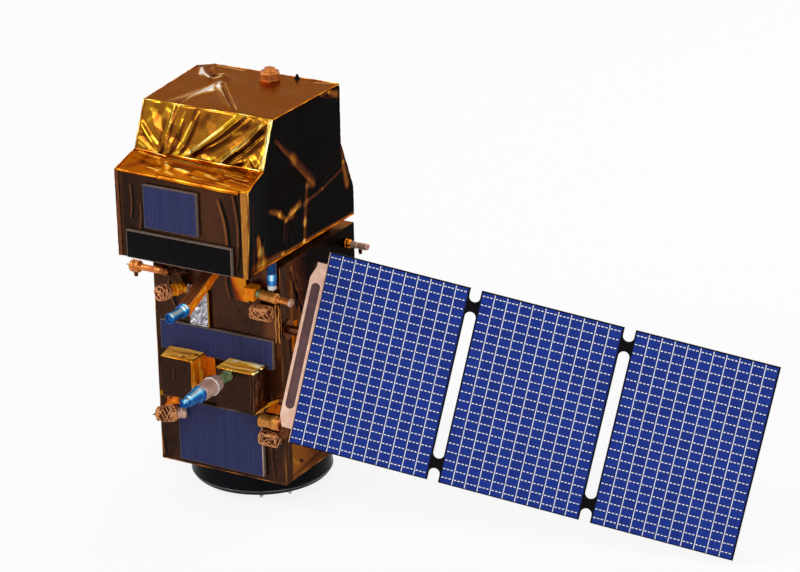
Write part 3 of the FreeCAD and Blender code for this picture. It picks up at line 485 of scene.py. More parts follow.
def flat_film(
    name, origin, along, up, size, rows, base, gain, key, material, stands_for, crumple, facet,
    seed, step=1, edge=2.5, bulge=None, flip=False, slot="gold_film",
):
    """A film over a flat rectangle that starts at origin and runs along and up."""
    a, b = grid(*size, step)
    height = fade(a, b, edge) * (folds(a, b, rows) + crumple * facets(a, b, seed, facet))
    spots = np.asarray(origin) + a[..., None] * along + b[..., None] * up
    if bulge:
        spots = spots + bulge(a, b)
    normal = np.cross(along, up) * (-1 if flip else 1)
    film(name, spots, a, b, normal, height, base, gain, key, material, stands_for)


def quad_film(
    name, corners, material, base=0.4, gain=0.7, key=(0.6, -0.6), rows=(), crumple=0.8, facet=7,
    seed=1, step=0.6, edge=1.2, slot="gold_film", stands_for="", flip=False,
):
    """A film over four corners, given round from the low left."""
    low_left, low_right, high_right, high_left = np.array(corners, float)
    width = (np.linalg.norm(low_right - low_left) + np.linalg.norm(high_right - high_left)) / 2
    tall = (np.linalg.norm(high_left - low_left) + np.linalg.norm(high_right - low_right)) / 2
    a, b = grid(width, tall, step)
    u, v = (a / width)[..., None], (b / tall)[..., None]
    spots = (
        low_left * (1 - u) * (1 - v) + low_right * u * (1 - v)
        + high_right * u * v + high_left * (1 - u) * v)
    normal = np.cross(low_right - low_left, high_left - low_left)
    normal = normal / np.linalg.norm(normal) * (-1 if flip else 1)
    height = fade(a, b, edge) * (folds(a, b, rows) + crumple * facets(a, b, seed, facet))
    film(name, spots, a, b, normal, height, base, gain, key, material, stands_for)


def facing(y, foot, low, head, high):
    """The corners of an upright sheet at y: foot and head are x ranges, low and high their z."""
    return [(foot[0], y, low), (foot[1], y, low), (head[1], y, high), (head[0], y, high)]


def sideways(foot, head, low, high):
    """The corners of an upright sheet along Y, whose x goes from foot to head."""
    return [
        (foot, low[1], low[2]), (foot, high[1], low[2]), (head, high[1], high[2]),
        (head, low[1], high[2])]


def film_hull(name, bottom, top, faces, slot, stands_for, **common):
    """A box of film: corners run from the front left, anticlockwise from above."""
    sides = {
        side: (bottom[i], bottom[j], top[j], top[i])
        for side, i, j in (("front", 0, 1), ("right", 1, 2), ("back", 2, 3), ("left", 3, 0))}
    sides.update(top=top, bottom=bottom[::-1])
    for index, (side, corners) in enumerate(sides.items()):
        if side in faces:
            quad_film(
                f"{name}_{side}", corners, slot=slot, stands_for=stands_for,
                seed=17 * index + len(name), **{**common, **faces[side]})


RIM_STEP, RIM_WAVE, RIM_SHAKE = 3, 33, 0.22


def rim(name, points, radius, low, high, material, seed, wobble=0.5):
    """The rolled edge of a film, as a slightly uneven bead whose painted 'lit' drifts along it."""
    rng = np.random.default_rng(seed)
    points = np.array(points, float)
    path = []
    for start, end in zip(points, points[1:]):
        count = max(int(np.linalg.norm(end - start) / RIM_STEP), 2)
        for step in range(count):
            shake = rng.normal(0, wobble * RIM_SHAKE, 3)
            path.append(start + (end - start) * step / count + shake)
    mesh = tube(name, [[*path, points[-1]]], radius, material).data
    spots = np.empty(len(mesh.vertices) * 3, dtype=np.float32)
    mesh.vertices.foreach_get("co", spots)
    x, y, z = (spots.reshape(-1, 3) / MM).T
    wave = np.sin((x + 1.3 * y + 0.7 * z) / RIM_WAVE * 6.28)
    keep_lit(mesh, low + (high - low) * (0.5 + 0.5 * wave))


def sleeve(
    name, profile, origin, axis, material, base, gain, crumple, facet, seed, segments=56,
    step=0.7, stands_for="", sides=0, painted_highlight=None,
):
    """Film round a turned or many-sided core: a profile of (radius, distance) pairs.

    Painted highlight: a direction that its brightest line faces, with its sharpness and amount.
    """
    radii, rises = (np.array(column, float) for column in zip(*profile))
    runs = np.concatenate([[0], np.cumsum(np.hypot(np.diff(radii), np.diff(rises)))])
    stops = np.union1d(np.linspace(0, runs[-1], max(int(runs[-1] / step), 6)), runs)
    around, run = np.meshgrid(np.linspace(0, FULL_TURN, segments + 1), stops)
    radius, rise = np.interp(run, runs, radii), np.interp(run, runs, rises)
    a = around * radii.max()
    seam = np.clip(np.minimum(around, FULL_TURN - around) / 0.4, 0, 1)
    height = crumple * facets(a, run, seed, facet) * seam
    lit = base + gain * tilt(height, a, run, (0.7, -0.7))
    turn = np.array(upright(axis))
    if painted_highlight:
        toward, sharpness, amount = painted_highlight
        side = np.stack([np.cos(around), np.sin(around), 0 * around], axis=-1) @ turn.T
        lit = lit + amount * np.clip(side @ np.array(toward), 0, 1) ** sharpness
    if sides:
        half = math.pi / sides
        radius = radius * math.cos(half) / np.cos(around % (2 * half) - half)
    size = radius + height * np.clip(radius / 2, 0, 1)
    local = np.stack([size * np.cos(around), size * np.sin(around), rise], axis=-1)
    middle = tuple(length // 2 for length in lit.shape)
    outward = turn @ (math.cos(around[middle]), math.sin(around[middle]), 0)
    lit_sheet(name, local @ turn.T + np.asarray(origin), lit, outward, material, stands_for)


def wound(name, profile, origin, axis, wire, strands, turns, seed):
    """Copper wire wound both ways over a core, unevenly."""
    rng = np.random.default_rng(seed)
    turn = upright(axis)
    radii, rises = zip(*profile)
    runs = []
    for strand in range(strands):
        hand = 1 if strand % 2 else -1
        phase, sway = rng.uniform(0, FULL_TURN, 2)
        path = []
        for t in np.linspace(0, 1, 50):
            share = min(max(t + 0.05 * math.sin(9 * t + sway), 0), 1)
            along = rises[0] + (rises[-1] - rises[0]) * share
            angle = phase + hand * FULL_TURN * turns * t
            radius = np.interp(along, rises, radii) + 0.45 * wire * math.sin(7 * angle + sway)
            spot = Vector((radius * math.cos(angle), radius * math.sin(angle), along))
            path.append(Vector(origin) + turn @ spot)
        runs.append(path)
    tube(name, runs, wire, COPPER_WIRE)


def wire_ball(label, profile, origin, axis, depths, base, gain, wire, strands, turns, seed):
    """Wire wound over a core: the depths say how far under the profile the two lie."""
    core, strand = ([(radius - depth, rise) for radius, rise in profile] for depth in depths)
    sleeve(
        f"{label}_core", core, origin, axis, FILM_COPPER, base, gain, 0.5, 3,
        seed, 40)
    wound(f"{label}_wire", strand, origin, axis, wire, strands, turns, seed + 1)


def tangle(name, low, high, wire, strands, seed):
    """Loops of copper wire bunched up inside a box."""
    rng = np.random.default_rng(seed)
    middle, half = (low + high) / 2, (high - low) / 2 - wire
    runs = []
    for _ in range(strands):
        pace, phase = rng.uniform(0.7, 2.6, 3), rng.uniform(0, FULL_TURN, 3)
        wave = np.sin(np.linspace(0, FULL_TURN, 54)[:, None] * pace + phase)
        wave[:, 1:] /= np.maximum(1, np.hypot(wave[:, 1], wave[:, 2]))[:, None]
        runs.append(middle + wave * half)
    tube(name, runs, wire, COPPER_WIRE)


# Hood

HOOD_LOW, HOOD_HIGH = corner_mm("hood_shell")
HOOD_LEFT, HOOD_RIGHT, HOOD_TOP = -65, HOOD_HIGH[0], HOOD_HIGH[2]
HOOD_WIDTH = HOOD_RIGHT - HOOD_LEFT
HOOD_FRONT, HOOD_BASE = HOOD_LOW[1], HOOD_LOW[2]
FACE_TOP = HOOD_BASE + 79.2
LEDGE_TOP = FACE_TOP + 8
LEDGE_BACK = HOOD_FRONT + 30.8
TOP_FRONT = LEDGE_BACK + 17.8
BULGE_BACK = HOOD_HIGH[1]
BULGE_TOP = HOOD_BASE + 26.5
STEP_TOP = BULGE_TOP + 46.2
TOP_BACK = BULGE_BACK - 19.6
TENT_REACH, TENT_HEIGHT, TENT_BACK = 11, 55, 9
TENT_PEAK = TOP_BACK - TENT_BACK
# The hood's edges run along X. Each is given as its y and z.
FOOT_FRONT, FOOT_BACK = (HOOD_FRONT, HOOD_BASE), (BULGE_BACK, HOOD_BASE)
EAVE, VALLEY = (HOOD_FRONT, FACE_TOP), (LEDGE_BACK, LEDGE_TOP)
BULGE, STEP = (BULGE_BACK, BULGE_TOP), (TOP_BACK, STEP_TOP)
ROOF_FRONT, ROOF_BACK = (TOP_FRONT, HOOD_TOP), (TOP_BACK, HOOD_TOP)
FRONT_OUTLINE = list(zip(FOOT_FRONT, EAVE, VALLEY, ROOF_FRONT))
BACK_OUTLINE = list(zip(FOOT_BACK, BULGE, STEP, ROOF_BACK))
SWELL_Z = [236, 244, 250, 270, 289, 305, 316, 330]
SWELL_OUT = [0.8, 1.5, 2.6, 4.2, 5, 4.9, 4.4, 0]
SWELL_REACH = 40


def tent(y, z):
    """How far the tent of film stands out from the hood's left side."""
    rise = np.minimum((y - TOP_FRONT) / (TENT_PEAK - TOP_FRONT), (TOP_BACK - y) / TENT_BACK)
    drop = (z - HOOD_TOP + TENT_HEIGHT) / TENT_HEIGHT
    return TENT_REACH * np.clip(rise, 0, 1) * np.clip(drop, 0, 1)


def swell(y, z):
    """How far the film swells out at the front right corner."""
    ahead = np.clip(1 - (y - HOOD_FRONT) / SWELL_REACH, 0, 1)
    return np.interp(z, SWELL_Z, SWELL_OUT) * ahead ** 1.6


def right_end(a):
    """0 along the hood's front, rising to 1 at its right end."""
    return np.clip((a / HOOD_WIDTH - 0.8) / 0.2, 0, 1)


def hood_sheet(name, start, end, rows, base, gain, key, material, *finish, **more):
    """A film from one of the hood's edges to the next."""
    rise = np.subtract(end, start)
    run = math.hypot(*rise)
    flat_film(
        name, (HOOD_LEFT, *start), RIGHT, (0, *rise / run), (HOOD_WIDTH, run), rows, base, gain,
        key, material, "hood_shell", *finish, **more)


def hood_side(name, x, out, base, seed, rows, painted_marks):
    """One side of the hood, ruled between front and back outlines, with painted light marks."""
    fractions, z = np.meshgrid(np.linspace(0, 1, 230), np.linspace(HOOD_BASE, HOOD_TOP, 170))
    front, back = (np.interp(z, *reversed(line)) for line in (FRONT_OUTLINE, BACK_OUTLINE))
    y = front + fractions * (back - front)
    edge = np.minimum.reduce([y - front, back - y, z - HOOD_BASE, HOOD_TOP - z])
    height = np.clip(edge / 3, 0, 1) * (
        folds(y, z, rows) + 0.3 * facets(y, z, seed, 24) + 0.5 * drift(y, z, seed, 70))
    stand_out = tent(y, z) if out < 0 else swell(y, z)
    lit = base + streaks(y, z, painted_marks) + 0.6 * tilt(height, y, z, (-0.35, -0.6))
    places = np.stack([x + out * (height + stand_out), y, z], axis=-1)
    lit_sheet(name, places, lit, (out, 0, 0), FILM_SIDE_PAINTED_SHADE, "hood_shell")


hood_side("hood_side_right", HOOD_RIGHT, 1, 0.09, 3, [
    (-65, 345, -35.5, 317.3, 5, 2.6, 0.8), (-38.5, 319, -5.6, 287.3, 5.5, 3, 0.9),
    (46, 296, -6, 274, 1.5, 2.6, 0.5), (-3.4, 275.4, -49.8, 266.4, 1.6, 3, 0.6),
    (-14.2, 290, -20.2, 232.9, 2, 4, 0.6), (-71.5, 281.9, -52.5, 269.3, 3.4, 2.6, 0.8),
    (-23.7, 274, -50, 268, 2.2, 4, 0.9), (-52.5, 269.3, -52.1, 239.5, 2, 1.8, 0.5),
    (-31, 268, -45, 246, 3, 2, 0.5), (-88, 268, -91, 240, 5, 4, 0.9),
    (49, 306, 62.5, 262, 3, 3, 0.9), (10, 362, 44, 352, 3, 4, 1.2),
], [
    (-64, 344, -34, 319, 3, 6, 0.2), (-36, 320, -4, 289, 6, 6.6, 0.22),
    (-60, 340, -10, 293, 0.8, 1, 0.08), (-12, 291, -2, 286, 5, 2.5, 0.2),
    (-75, 284.5, -60, 277, 2.6, 3.6, 0.32), (-60, 277, -50, 268.8, 3.8, 2.8, 0.31),
    (-66, 284, -60, 276, 1, 1.4, 0.16), (-49, 268.6, -40, 271.5, 2.6, 4.6, 0.32),
    (-40, 271.5, -27, 277, 5.6, 3.8, 0.3), (-36, 273, -31, 276, 1.4, 1.4, 0.24),
    (-14, 288, -19, 257, 2.8, 4, 0.3), (-19, 257, -21, 238, 3.4, 2.6, 0.32),
    (-18.6, 261, -19.4, 254, 1.6, 1.8, 0.35), (-21, 240, -21, 237.6, 2.2, 2.6, 0.65),
    (-52, 267, -55, 251, 2.4, 1.6, 0.18), (-46, 264, -50, 250, 1.6, 1, 0.16),
    (-20, 273, 12, 277.5, 2.2, 1.8, 0.28), (12, 277.5, 45, 285, 1.8, 2.2, 0.24),
    (4, 289, 44, 306, 0.8, 1.2, 0.12), (45.4, 308, 48, 292, 1.2, 2.4, 0.34),
    (48, 290, 54, 268, 2.8, 4.2, 0.44), (-98.4, 268, -95, 256, 3.6, 5.4, 0.54),
    (-93, 252, -91.5, 244, 6.2, 7.8, 0.5), (-95, 266, -92, 246, 0.9, 1.4, 0.2),
    (-106, 262, -105, 245, 2.5, 3, 0.22), (-106, 300, -108, 270, 2, 2.6, 0.14),
    (-106, 240.6, -57, 239.6, 5.6, 4, 0.34), (-57, 239.6, 60, 238.2, 2, 1.5, 0.4),
    (27, 361.5, 40, 357, 2.2, 3.4, 0.46), (12, 363, 28, 362, 0.8, 1.6, 0.25),
])
hood_side("hood_side_left", HOOD_LEFT, -1, 0.12, 4, [
    (-95, 300, -40, 262, 4, 2, 1.4), (-60, 345, 10, 300, 5, 2, 1.6),
    (-20, 330, 30, 255, 4, 2, 1.3), (20, 285, 60, 250, 3.5, 3, 1.3),
    (-100, 262, -60, 245, 3, 3, 1.2),
], [
    (-100, 240, 60, 238.5, 1.8, 1.4, 0.3), (-60, 344, -10, 318, 1.6, 3.4, 0.22),
    (20, 284, 52, 256, 1.5, 3, 0.24),
])


def face_painted_light(a, b):
    """Painted light: the hood's face is dark on the left, warmer by its radiator, dark at the
    right.
    """
    across = [0, 8, 20, 84, 98, 108, 116, 130]
    return np.interp(a, across, [0.34, 0.22, 0.24, 0.3, 0.31, 0.28, 0.24, 0.23])


def face_swell(a, b):
    """Moves the face's right end out with the swollen corner."""
    shift = np.zeros((*a.shape, 3))
    shift[..., 0] = swell(np.full_like(a, HOOD_FRONT), HOOD_BASE + b) * right_end(a)
    return shift


hood_sheet("hood_front", FOOT_FRONT, EAVE, [
    (14.8, 36, 15.6, 68, 1.5, 1.2, 0.8), (23, 24, 25.4, 52, 1.5, 1.2, 0.8),
    (111.8, 24, 104.6, 68, 2.2, 1.8, 1.2), (119.5, 4, 117, 76, 2, 1.6, 0.8),
], face_painted_light, 0.85, (0.8, 0.1), FILM_BROWN, 0.22, 26, 5, bulge=face_swell)
LEDGE_RUN, SLOPE_RUN = math.dist(EAVE, VALLEY), math.dist(VALLEY, ROOF_FRONT)
LEDGE_DROOP = 1.1


def ledge_painted_light(a, b):
    """Painted light on the ledge: dull left, glints from the middle rightward, shade in hollows."""
    across = [0, 20, 45, 75, 110, 130]
    return np.interp(a, across, [0.37, 0.41, 0.51, 0.51, 0.45, 0.47]) + streaks(a, b, [
        (6, 29.5, 31, 23.5, 0.9, 1.1, 0.42), (36, 27, 97, 23.5, 1.3, 1, 0.36),
        (98, 23, 129, 22, 1.1, 0.9, 0.28), (39, 20.5, 46, 13, 1.4, 2.2, 0.46),
        (55, 13.5, 66, 12, 2.6, 3, 0.56), (28, 9, 38, 8.2, 1.2, 2.6, 0.46),
        (30, 21, 36, 17, 1, 1.2, 0.3), (47, 8, 55, 5.5, 1.6, 0.9, 0.34),
        (72, 16.5, 88, 13.5, 0.8, 1.2, 0.34), (76, 7.2, 90, 6, 2, 1.3, 0.4),
        (84, 12.5, 98, 10, 0.9, 1.4, 0.34), (103, 16.5, 123, 14.5, 1.1, 1.7, 0.48),
        (109, 11.5, 128, 8.5, 1.6, 1.1, 0.4), (98, 18.5, 118, 19.5, 0.9, 0.9, 0.3),
        (100, 5, 112, 4, 1, 1.2, 0.34), (48, 18.5, 92, 16.5, 2.4, 2.4, -0.24),
        (66, 9.5, 104, 6.5, 1.4, 1.6, -0.2), (104, 12.5, 126, 11.8, 1.3, 1.3, -0.24),
        (20, 15, 38, 12.5, 2.2, 2.2, -0.16), (6, 20, 20, 14, 2.4, 2, -0.1),
        (0, 0.6, 130, 0.4, 1.4, 1.6, 0.16),
    ])


def ledge_swell(a, b):
    """Droops the ledge's front edge a little and carries its right end out."""
    shift = np.zeros((*a.shape, 3))
    y = HOOD_FRONT + (LEDGE_BACK - HOOD_FRONT) * b / LEDGE_RUN
    z = FACE_TOP + (LEDGE_TOP - FACE_TOP) * b / LEDGE_RUN
    shift[..., 0] = swell(y, z) * right_end(a)
    shift[..., 2] = -LEDGE_DROOP * (1 - b / LEDGE_RUN) ** 3 * (0.5 + 0.5 * np.sin(a / 11 + 1))
    return shift


hood_sheet("hood_ledge", EAVE, VALLEY, [
    (22, 27, 88, 23, 2.5, 5, 1.6), (38, 20, 58, 11, 2.5, 4, 1.6), (52, 15, 70, 12, 2.5, 3.5, 1.8),
    (70, 8, 104, 5, 2, 4, 1.5), (96, 18, 126, 14, 2.5, 3, 1.8), (106, 12, 129, 8, 2, 3, 1.6),
    (2, 6, 24, 24, 3, 6, 1.2), (24, 10, 40, 8, 2, 3, 1.4),
], ledge_painted_light, 0.62, (0.35, -0.85), FILM_ORANGE, 1.2, 9, 7, 0.6, 1.5, ledge_swell)


def on_slope(rows):
    """Rows whose ends are an x and a share of the way down, in the slope's own coordinates."""
    return [
        (x0 - HOOD_LEFT, (1 - down0) * SLOPE_RUN, x1 - HOOD_LEFT, (1 - down1) * SLOPE_RUN, *rest)
        for x0, down0, x1, down1, *rest in rows]


def slope_painted_light(a, b):
    """The slope's painted highlights on crests and glints, and painted shade in its hollows."""
    return 0.42 + streaks(a, b, on_slope([
        (-31.9, 0.03, -34.8, 0.86, 0.8, 1.1, 0.34), (-28.4, 0, -33, 0.45, 0.9, 0.7, 0.26),
        (-62.5, 0.52, -44, 0.92, 0.9, 1.1, 0.32), (-50.5, 0.7, -44, 0.8, 1.2, 1.5, 0.4),
        (-62, 0.86, -56, 0.92, 1.4, 1, 0.3), (-40.5, 0.12, -35, 0.17, 2, 1.2, 0.3),
        (-56, 0.17, -51, 0.2, 1.6, 2.2, 0.28), (-57, 0.4, -52, 0.3, 2, 1.4, 0.16),
        (-13.2, 0.28, -19.2, 0.68, 0.9, 1.6, 0.34), (-21.5, 0.12, -25, 0.55, 0.7, 0.9, 0.2),
        (-17, 0.96, -9, 0.86, 1.4, 1.6, 0.34), (-25, 0.97, -21, 0.92, 1.6, 1.6, 0.32),
        (-9.5, 0.9, 28.6, 0.04, 1, 0.7, 0.34), (2, 0.64, 19, 0.32, 1.4, 1.6, 0.22),
        (31.5, 0.4, 37, 0.34, 1.8, 1.6, 0.28), (24, 0.96, 57, 0.12, 0.9, 0.7, 0.34),
        (38.5, 0.7, 48, 0.48, 1.2, 1.8, 0.36), (47, 0.9, 55, 0.78, 2, 1.8, 0.32),
        (58.6, 0.97, 62.8, 0.3, 0.9, 0.9, 0.28), (63.6, 1.02, 63.6, -0.02, 1.5, 1.2, 0.55),
        (11, 0.93, 16.5, 0.9, 1.6, 1.2, 0.28), (-62, 0.02, -30, 0.02, 0.6, 0.6, 0.18),
        (-10.7, 0.06, -13, 0.26, 2.2, 1.4, -0.24), (-40, 0.36, -41, 0.82, 2.6, 1.2, -0.2),
        (-26, 0.62, -29, 0.98, 2.2, 1.4, -0.2), (-4, 0.92, 30, 0.14, 1.6, 1.2, -0.26),
        (-3, 0.3, 2, 0.12, 4, 3, -0.16), (6, 0.84, 26, 0.52, 2.6, 2.4, -0.12),
        (29, 0.99, 60, 0.24, 1.5, 1.3, -0.26), (43, 0.24, 53, 0.1, 2.4, 2, -0.14),
        (-60, 0.7, -55, 0.8, 2, 1.6, -0.2),
    ]))


hood_sheet("hood_slope", VALLEY, ROOF_FRONT, on_slope([
    (-39.5, 1.04, -32, -0.02, 3.5, 3, 2.6), (-29, 1, -22, 0.3, 3.5, 2.5, 1.8),
    (-19.9, 0.98, -8, 0.1, 4.5, 3, 2.2), (-13, 1, 38.1, 0.02, 6, 4.5, 3.4),
    (6, 0.8, 44, 0.05, 2, 5, 1.8), (20, 1.04, 61, 0.08, 5, 4, 3.2),
    (32, 0.98, 60, 0.36, 3, 4, 2.2), (-64.5, 0.45, -43, 0.9, 4, 3, 2.2),
    (30, 1.02, 50.6, 0.8, 5, 3, 2.4), (50.6, 0.8, 63, 1, 4, 3, 2.2),
    (63.4, 1, 63.4, 0, 2.6, 1.2, 1.6),
]), slope_painted_light, 0.44, (0.72, -0.55), FILM_GOLD, 2.1, 11, 11, 0.6, 1.2)


def hood_roof():
    """The top of the hood, out to the edge of the tent."""
    fractions, y = np.meshgrid(np.linspace(0, 1, 180), np.linspace(TOP_FRONT, TOP_BACK, 150))
    level = np.full_like(y, HOOD_TOP)
    left = HOOD_LEFT - tent(y, level)
    x = left + fractions * (HOOD_RIGHT - left)
    height = fade(x, y, 2) * (
        0.25 * facets(x, y, 4, 30) + 0.3 * drift(x, y, 8, 60) + folds(x, y, [
            (-36, -64, -26, 4, 9, 3.2, 0.9), (-33, 4, 24.5, -62, 2.2, 4, 1.4),
            (-28, 6, 34, -64, 1.8, 3, 0.8), (-69, 33, -41, 4, 2.5, 5, 2),
            (-60, 36, -33, 17.6, 2.5, 4, 2), (-50, 20, -26, 12, 2.2, 4, 1.8),
            (-58, 14, -40, 0, 3, 3, 1.4),
        ]))
    # Painted highlights along the roof's creases, and painted shade where the amount is below 0.
    base = 0.52 + streaks(x, y, [
        (-44, -60, -29, -18, 1, 7.5, 0.16), (-31.5, -59, -28, -20, 0.5, 4.6, 0.24),
        (-28.5, -20, -33, -5, 4.6, 2, 0.28), (-31.5, -50, -31, -10, 0.4, 1.2, 0.18),
        (-31.5, 3.5, -24, -10, 1, 2.8, 0.46), (-24, -10, -8, -28, 2.6, 1, 0.36),
        (-8, -28, 15, -54, 1, 0.6, 0.3), (-25, 1, 23, -56.5, 0.7, 0.6, 0.26),
        (-27, -3, 17, -55, 0.9, 0.8, -0.32), (-68, 30, -60, 17, 1.2, 2.8, 0.4),
        (-59, 16, -46, 7.5, 2.4, 1.8, 0.42), (-46, 8, -37, 15, 1, 1.2, 0.36),
        (-52, 20, -34, 20.5, 1, 0.8, 0.3), (-55, 24, -45, 14, 1.6, 1.6, -0.3),
        (-72, 33, -62, 33, 1.5, 1.5, -0.2), (-60, 42, -30, 39.5, 1, 1.2, 0.26),
        (44, 38.5, 61, 43.5, 0.9, 1.3, 0.26),
    ])
    film(
        "hood_roof", np.stack([x, y, level], axis=-1), x, y, UP, height, base, 0.6, (0.7, -0.5),
        FILM_ROOF_PAINTED_LIGHT, "hood_shell")


hood_roof()
for label, start, end, seed in (
    ("low", FOOT_BACK, BULGE, 13), ("slope", BULGE, STEP, 14), ("high", STEP, ROOF_BACK, 15),
):
    run = math.dist(start, end)
    hood_sheet(
        f"hood_back_{label}", start, end,
        [(20, run * 0.2, 60, run * 0.8, 4, 2.5, 1.6), (110, run * 0.1, 78, run * 0.9, 4, 2.5, 1.6)],
        0.24, 0.8, (-0.6, 0.6), FILM_BROWN, 1.2, 16, seed, flip=True)
hood_sheet(
    "hood_underside", FOOT_FRONT, FOOT_BACK, [], 0.3, 0.8, (0.6, 0.6), FILM_BROWN, 0.5, 22, 16, 2,
    flip=True)


def by_edge(edge, x, dy=0, dz=0):
    """A point by an edge of the hood."""
    return (x, edge[0] + dy, edge[1] + dz)


LEDGE_RIGHT = HOOD_RIGHT + 4.4
# Rolled edges of film as beads; their 'lit' ranges paint highlights along them.
for label, radius, low, high, seed, material, points in (
    ("ledge_front", 1.3, 0.34, 0.58, 41, FILM_ORANGE, (
        (EAVE, HOOD_LEFT + 0.2, 0, -0.3), (EAVE, -40, -0.4, -0.9), (EAVE, 0, -0.5, -1))),
    ("ledge_front_right", 2.4, 0.38, 0.66, 53, FILM_ORANGE, (
        (EAVE, -22, -0.2, -0.8), (EAVE, 8, -0.5, -1.3), (EAVE, 40, -0.6, -2.2),
        (EAVE, 60, -0.4, -2.3))),
    ("ledge_tip", 1, 0.4, 0.66, 54, FILM_ORANGE, (
        (EAVE, 59, -0.5, -1.8), (EAVE, LEDGE_RIGHT - 0.4, 0, -0.2))),
    ("ledge_right", 0.9, 0.36, 0.66, 42, FILM_ORANGE, (
        (EAVE, LEDGE_RIGHT), (EAVE, LEDGE_RIGHT - 2.4, 12, 3.1), (VALLEY, HOOD_RIGHT + 0.4))),
    ("ledge_left", 0.7, 0.45, 0.7, 43, FILM_ORANGE, (
        (EAVE, HOOD_LEFT), (VALLEY, HOOD_LEFT - 0.2))),
    ("ledge_back_left", 0.8, 0.6, 0.85, 44, FILM_ORANGE, (
        (VALLEY, HOOD_LEFT, -0.4, 0.5), (VALLEY, -48, -1, 0.6), (VALLEY, -30, -3.8, -0.2))),
    ("ledge_back", 0.7, 0.45, 0.95, 55, FILM_GOLD, (
        (VALLEY, -29, -0.6, 0.8), (VALLEY, 10, -1.2, 0.4), (VALLEY, HOOD_RIGHT, -0.4, 0.4))),
    ("slope_right", 1.2, 0.86, 1, 45, FILM_GOLD, (
        (VALLEY, HOOD_RIGHT - 0.4, -0.3), (ROOF_FRONT, HOOD_RIGHT - 0.4, -0.3))),
    ("slope_left", 0.6, 0.5, 0.85, 46, FILM_GOLD, (
        (VALLEY, HOOD_LEFT), (ROOF_FRONT, HOOD_LEFT))),
    ("roof_front", 0.5, 0.45, 0.9, 47, FILM_GOLD, (
        (ROOF_FRONT, HOOD_LEFT), (ROOF_FRONT, -31, 0.6, 0.1), (ROOF_FRONT, -3, -0.8),
        (ROOF_FRONT, 26, 1.2, 0.2), (ROOF_FRONT, HOOD_RIGHT))),
    ("roof_right", 0.4, 0.3, 0.6, 48, FILM_ORANGE, (
        (ROOF_FRONT, HOOD_RIGHT), (ROOF_BACK, HOOD_RIGHT))),
    ("roof_back", 0.45, 0.3, 0.75, 49, FILM_ORANGE, (
        (ROOF_BACK, HOOD_RIGHT), (ROOF_BACK, 0), (ROOF_BACK, HOOD_LEFT))),
    ("roof_left", 0.4, 0.2, 0.5, 50, FILM_ORANGE, (
        (ROOF_FRONT, HOOD_LEFT), ((TENT_PEAK, HOOD_TOP), HOOD_LEFT - TENT_REACH))),
    ("foot_right", 0.7, 0.22, 0.5, 51, FILM_ORANGE, (
        (FOOT_FRONT, HOOD_RIGHT, 10, 0.6), (FOOT_BACK, HOOD_RIGHT, 0, 0.6))),
    ("back_right", 0.5, 0.05, 0.4, 52, FILM_BROWN, (
        (FOOT_BACK, HOOD_RIGHT, 0, 2), (BULGE, HOOD_RIGHT), (STEP, HOOD_RIGHT),
        (ROOF_BACK, HOOD_RIGHT, 0, -2))),
):
    rim(f"rim_{label}", [by_edge(*point) for point in points], radius, low, high, material, seed)

# Each trim is a rolled strip of film down a front corner of the hood.
TRIM_FRONT = HOOD_FRONT - 0.8
for side, foot, head, base in (
    ("right", (62.2, 66.2), (61.8, 69.4), 0.66), ("left", (-65, -61.4), (-65.2, -62), 0.42),
):
    quad_film(
        f"hood_trim_{side}_film", facing(TRIM_FRONT, foot, HOOD_BASE, head, FACE_TOP),
        FILM_BROWN, base, 0.5, (0.9, 0.1), crumple=0.3, seed=61, stands_for=f"hood_trim_{side}")
rim("rim_corner_right", [
    (66.4, TRIM_FRONT, HOOD_BASE), (67.8, TRIM_FRONT, 256), (69.8, TRIM_FRONT, 289),
    (69.6, TRIM_FRONT, FACE_TOP)], 0.5, 0.5, 0.8, FILM_BROWN, 62, 0.3)
rim("rim_corner_left", [
    (HOOD_LEFT, TRIM_FRONT, HOOD_BASE), (HOOD_LEFT - 0.2, TRIM_FRONT, FACE_TOP)],
    0.5, 0.3, 0.6, FILM_BROWN, 63, 0.3)


# Bus

BUS_LOW, BUS_HIGH = corner_mm("bus_box")
BUS_LEFT, BUS_FACE, BUS_FOOT = BUS_LOW
BUS_RIGHT, BUS_BACK, BUS_TOP = BUS_HIGH
BUS_WIDTH, BUS_DEPTH, BUS_HEIGHT = BUS_HIGH - BUS_LOW


def bus_face_painted_light(a, b):
    """Painted light: the bus's face is dark brown, warmer under the hood and up its right edge."""
    right = np.interp(a, [110, 118, 130], [0, 0.13, 0.15])
    up = np.interp(b, [0, 60, 78, 112, 130], [0.1, 0.1, 1.3, 1.3, 1])
    return np.interp(b, [0, 120, 160, 206], [0.24, 0.24, 0.27, 0.28]) + right * up


def bus_side_painted_light(a, b):
    """Painted light: the wing's side is amber near its foot and almost black above."""
    foot = np.interp(b, [0, 10, 40, 75, 100, 200], [0.38, 0.42, 0.4, 0.3, 0.23, 0.18])
    return foot + np.interp(a, [0, 26, 50], [0.16, 0.12, 0]) + streaks(a, b, [
        (24.5, 15, 28.5, 12, 1, 1.6, -0.34), (6, 2, 5, 60, 1, 1.2, -0.1),
        (15, 60, 20, 200, 1.2, 2.4, 0.14), (26, 70, 31, 160, 1.6, 2, 0.12),
        (14, 4, 60, 8, 1.6, 2.2, -0.12), (44, 30, 70, 18, 2.4, 3, 0.1),
        (10, 22, 22, 12, 1.4, 2, 0.12), (34, 46, 64, 40, 2, 2.6, -0.1),
        (80, 14, 110, 30, 3, 3, 0.1),
    ])


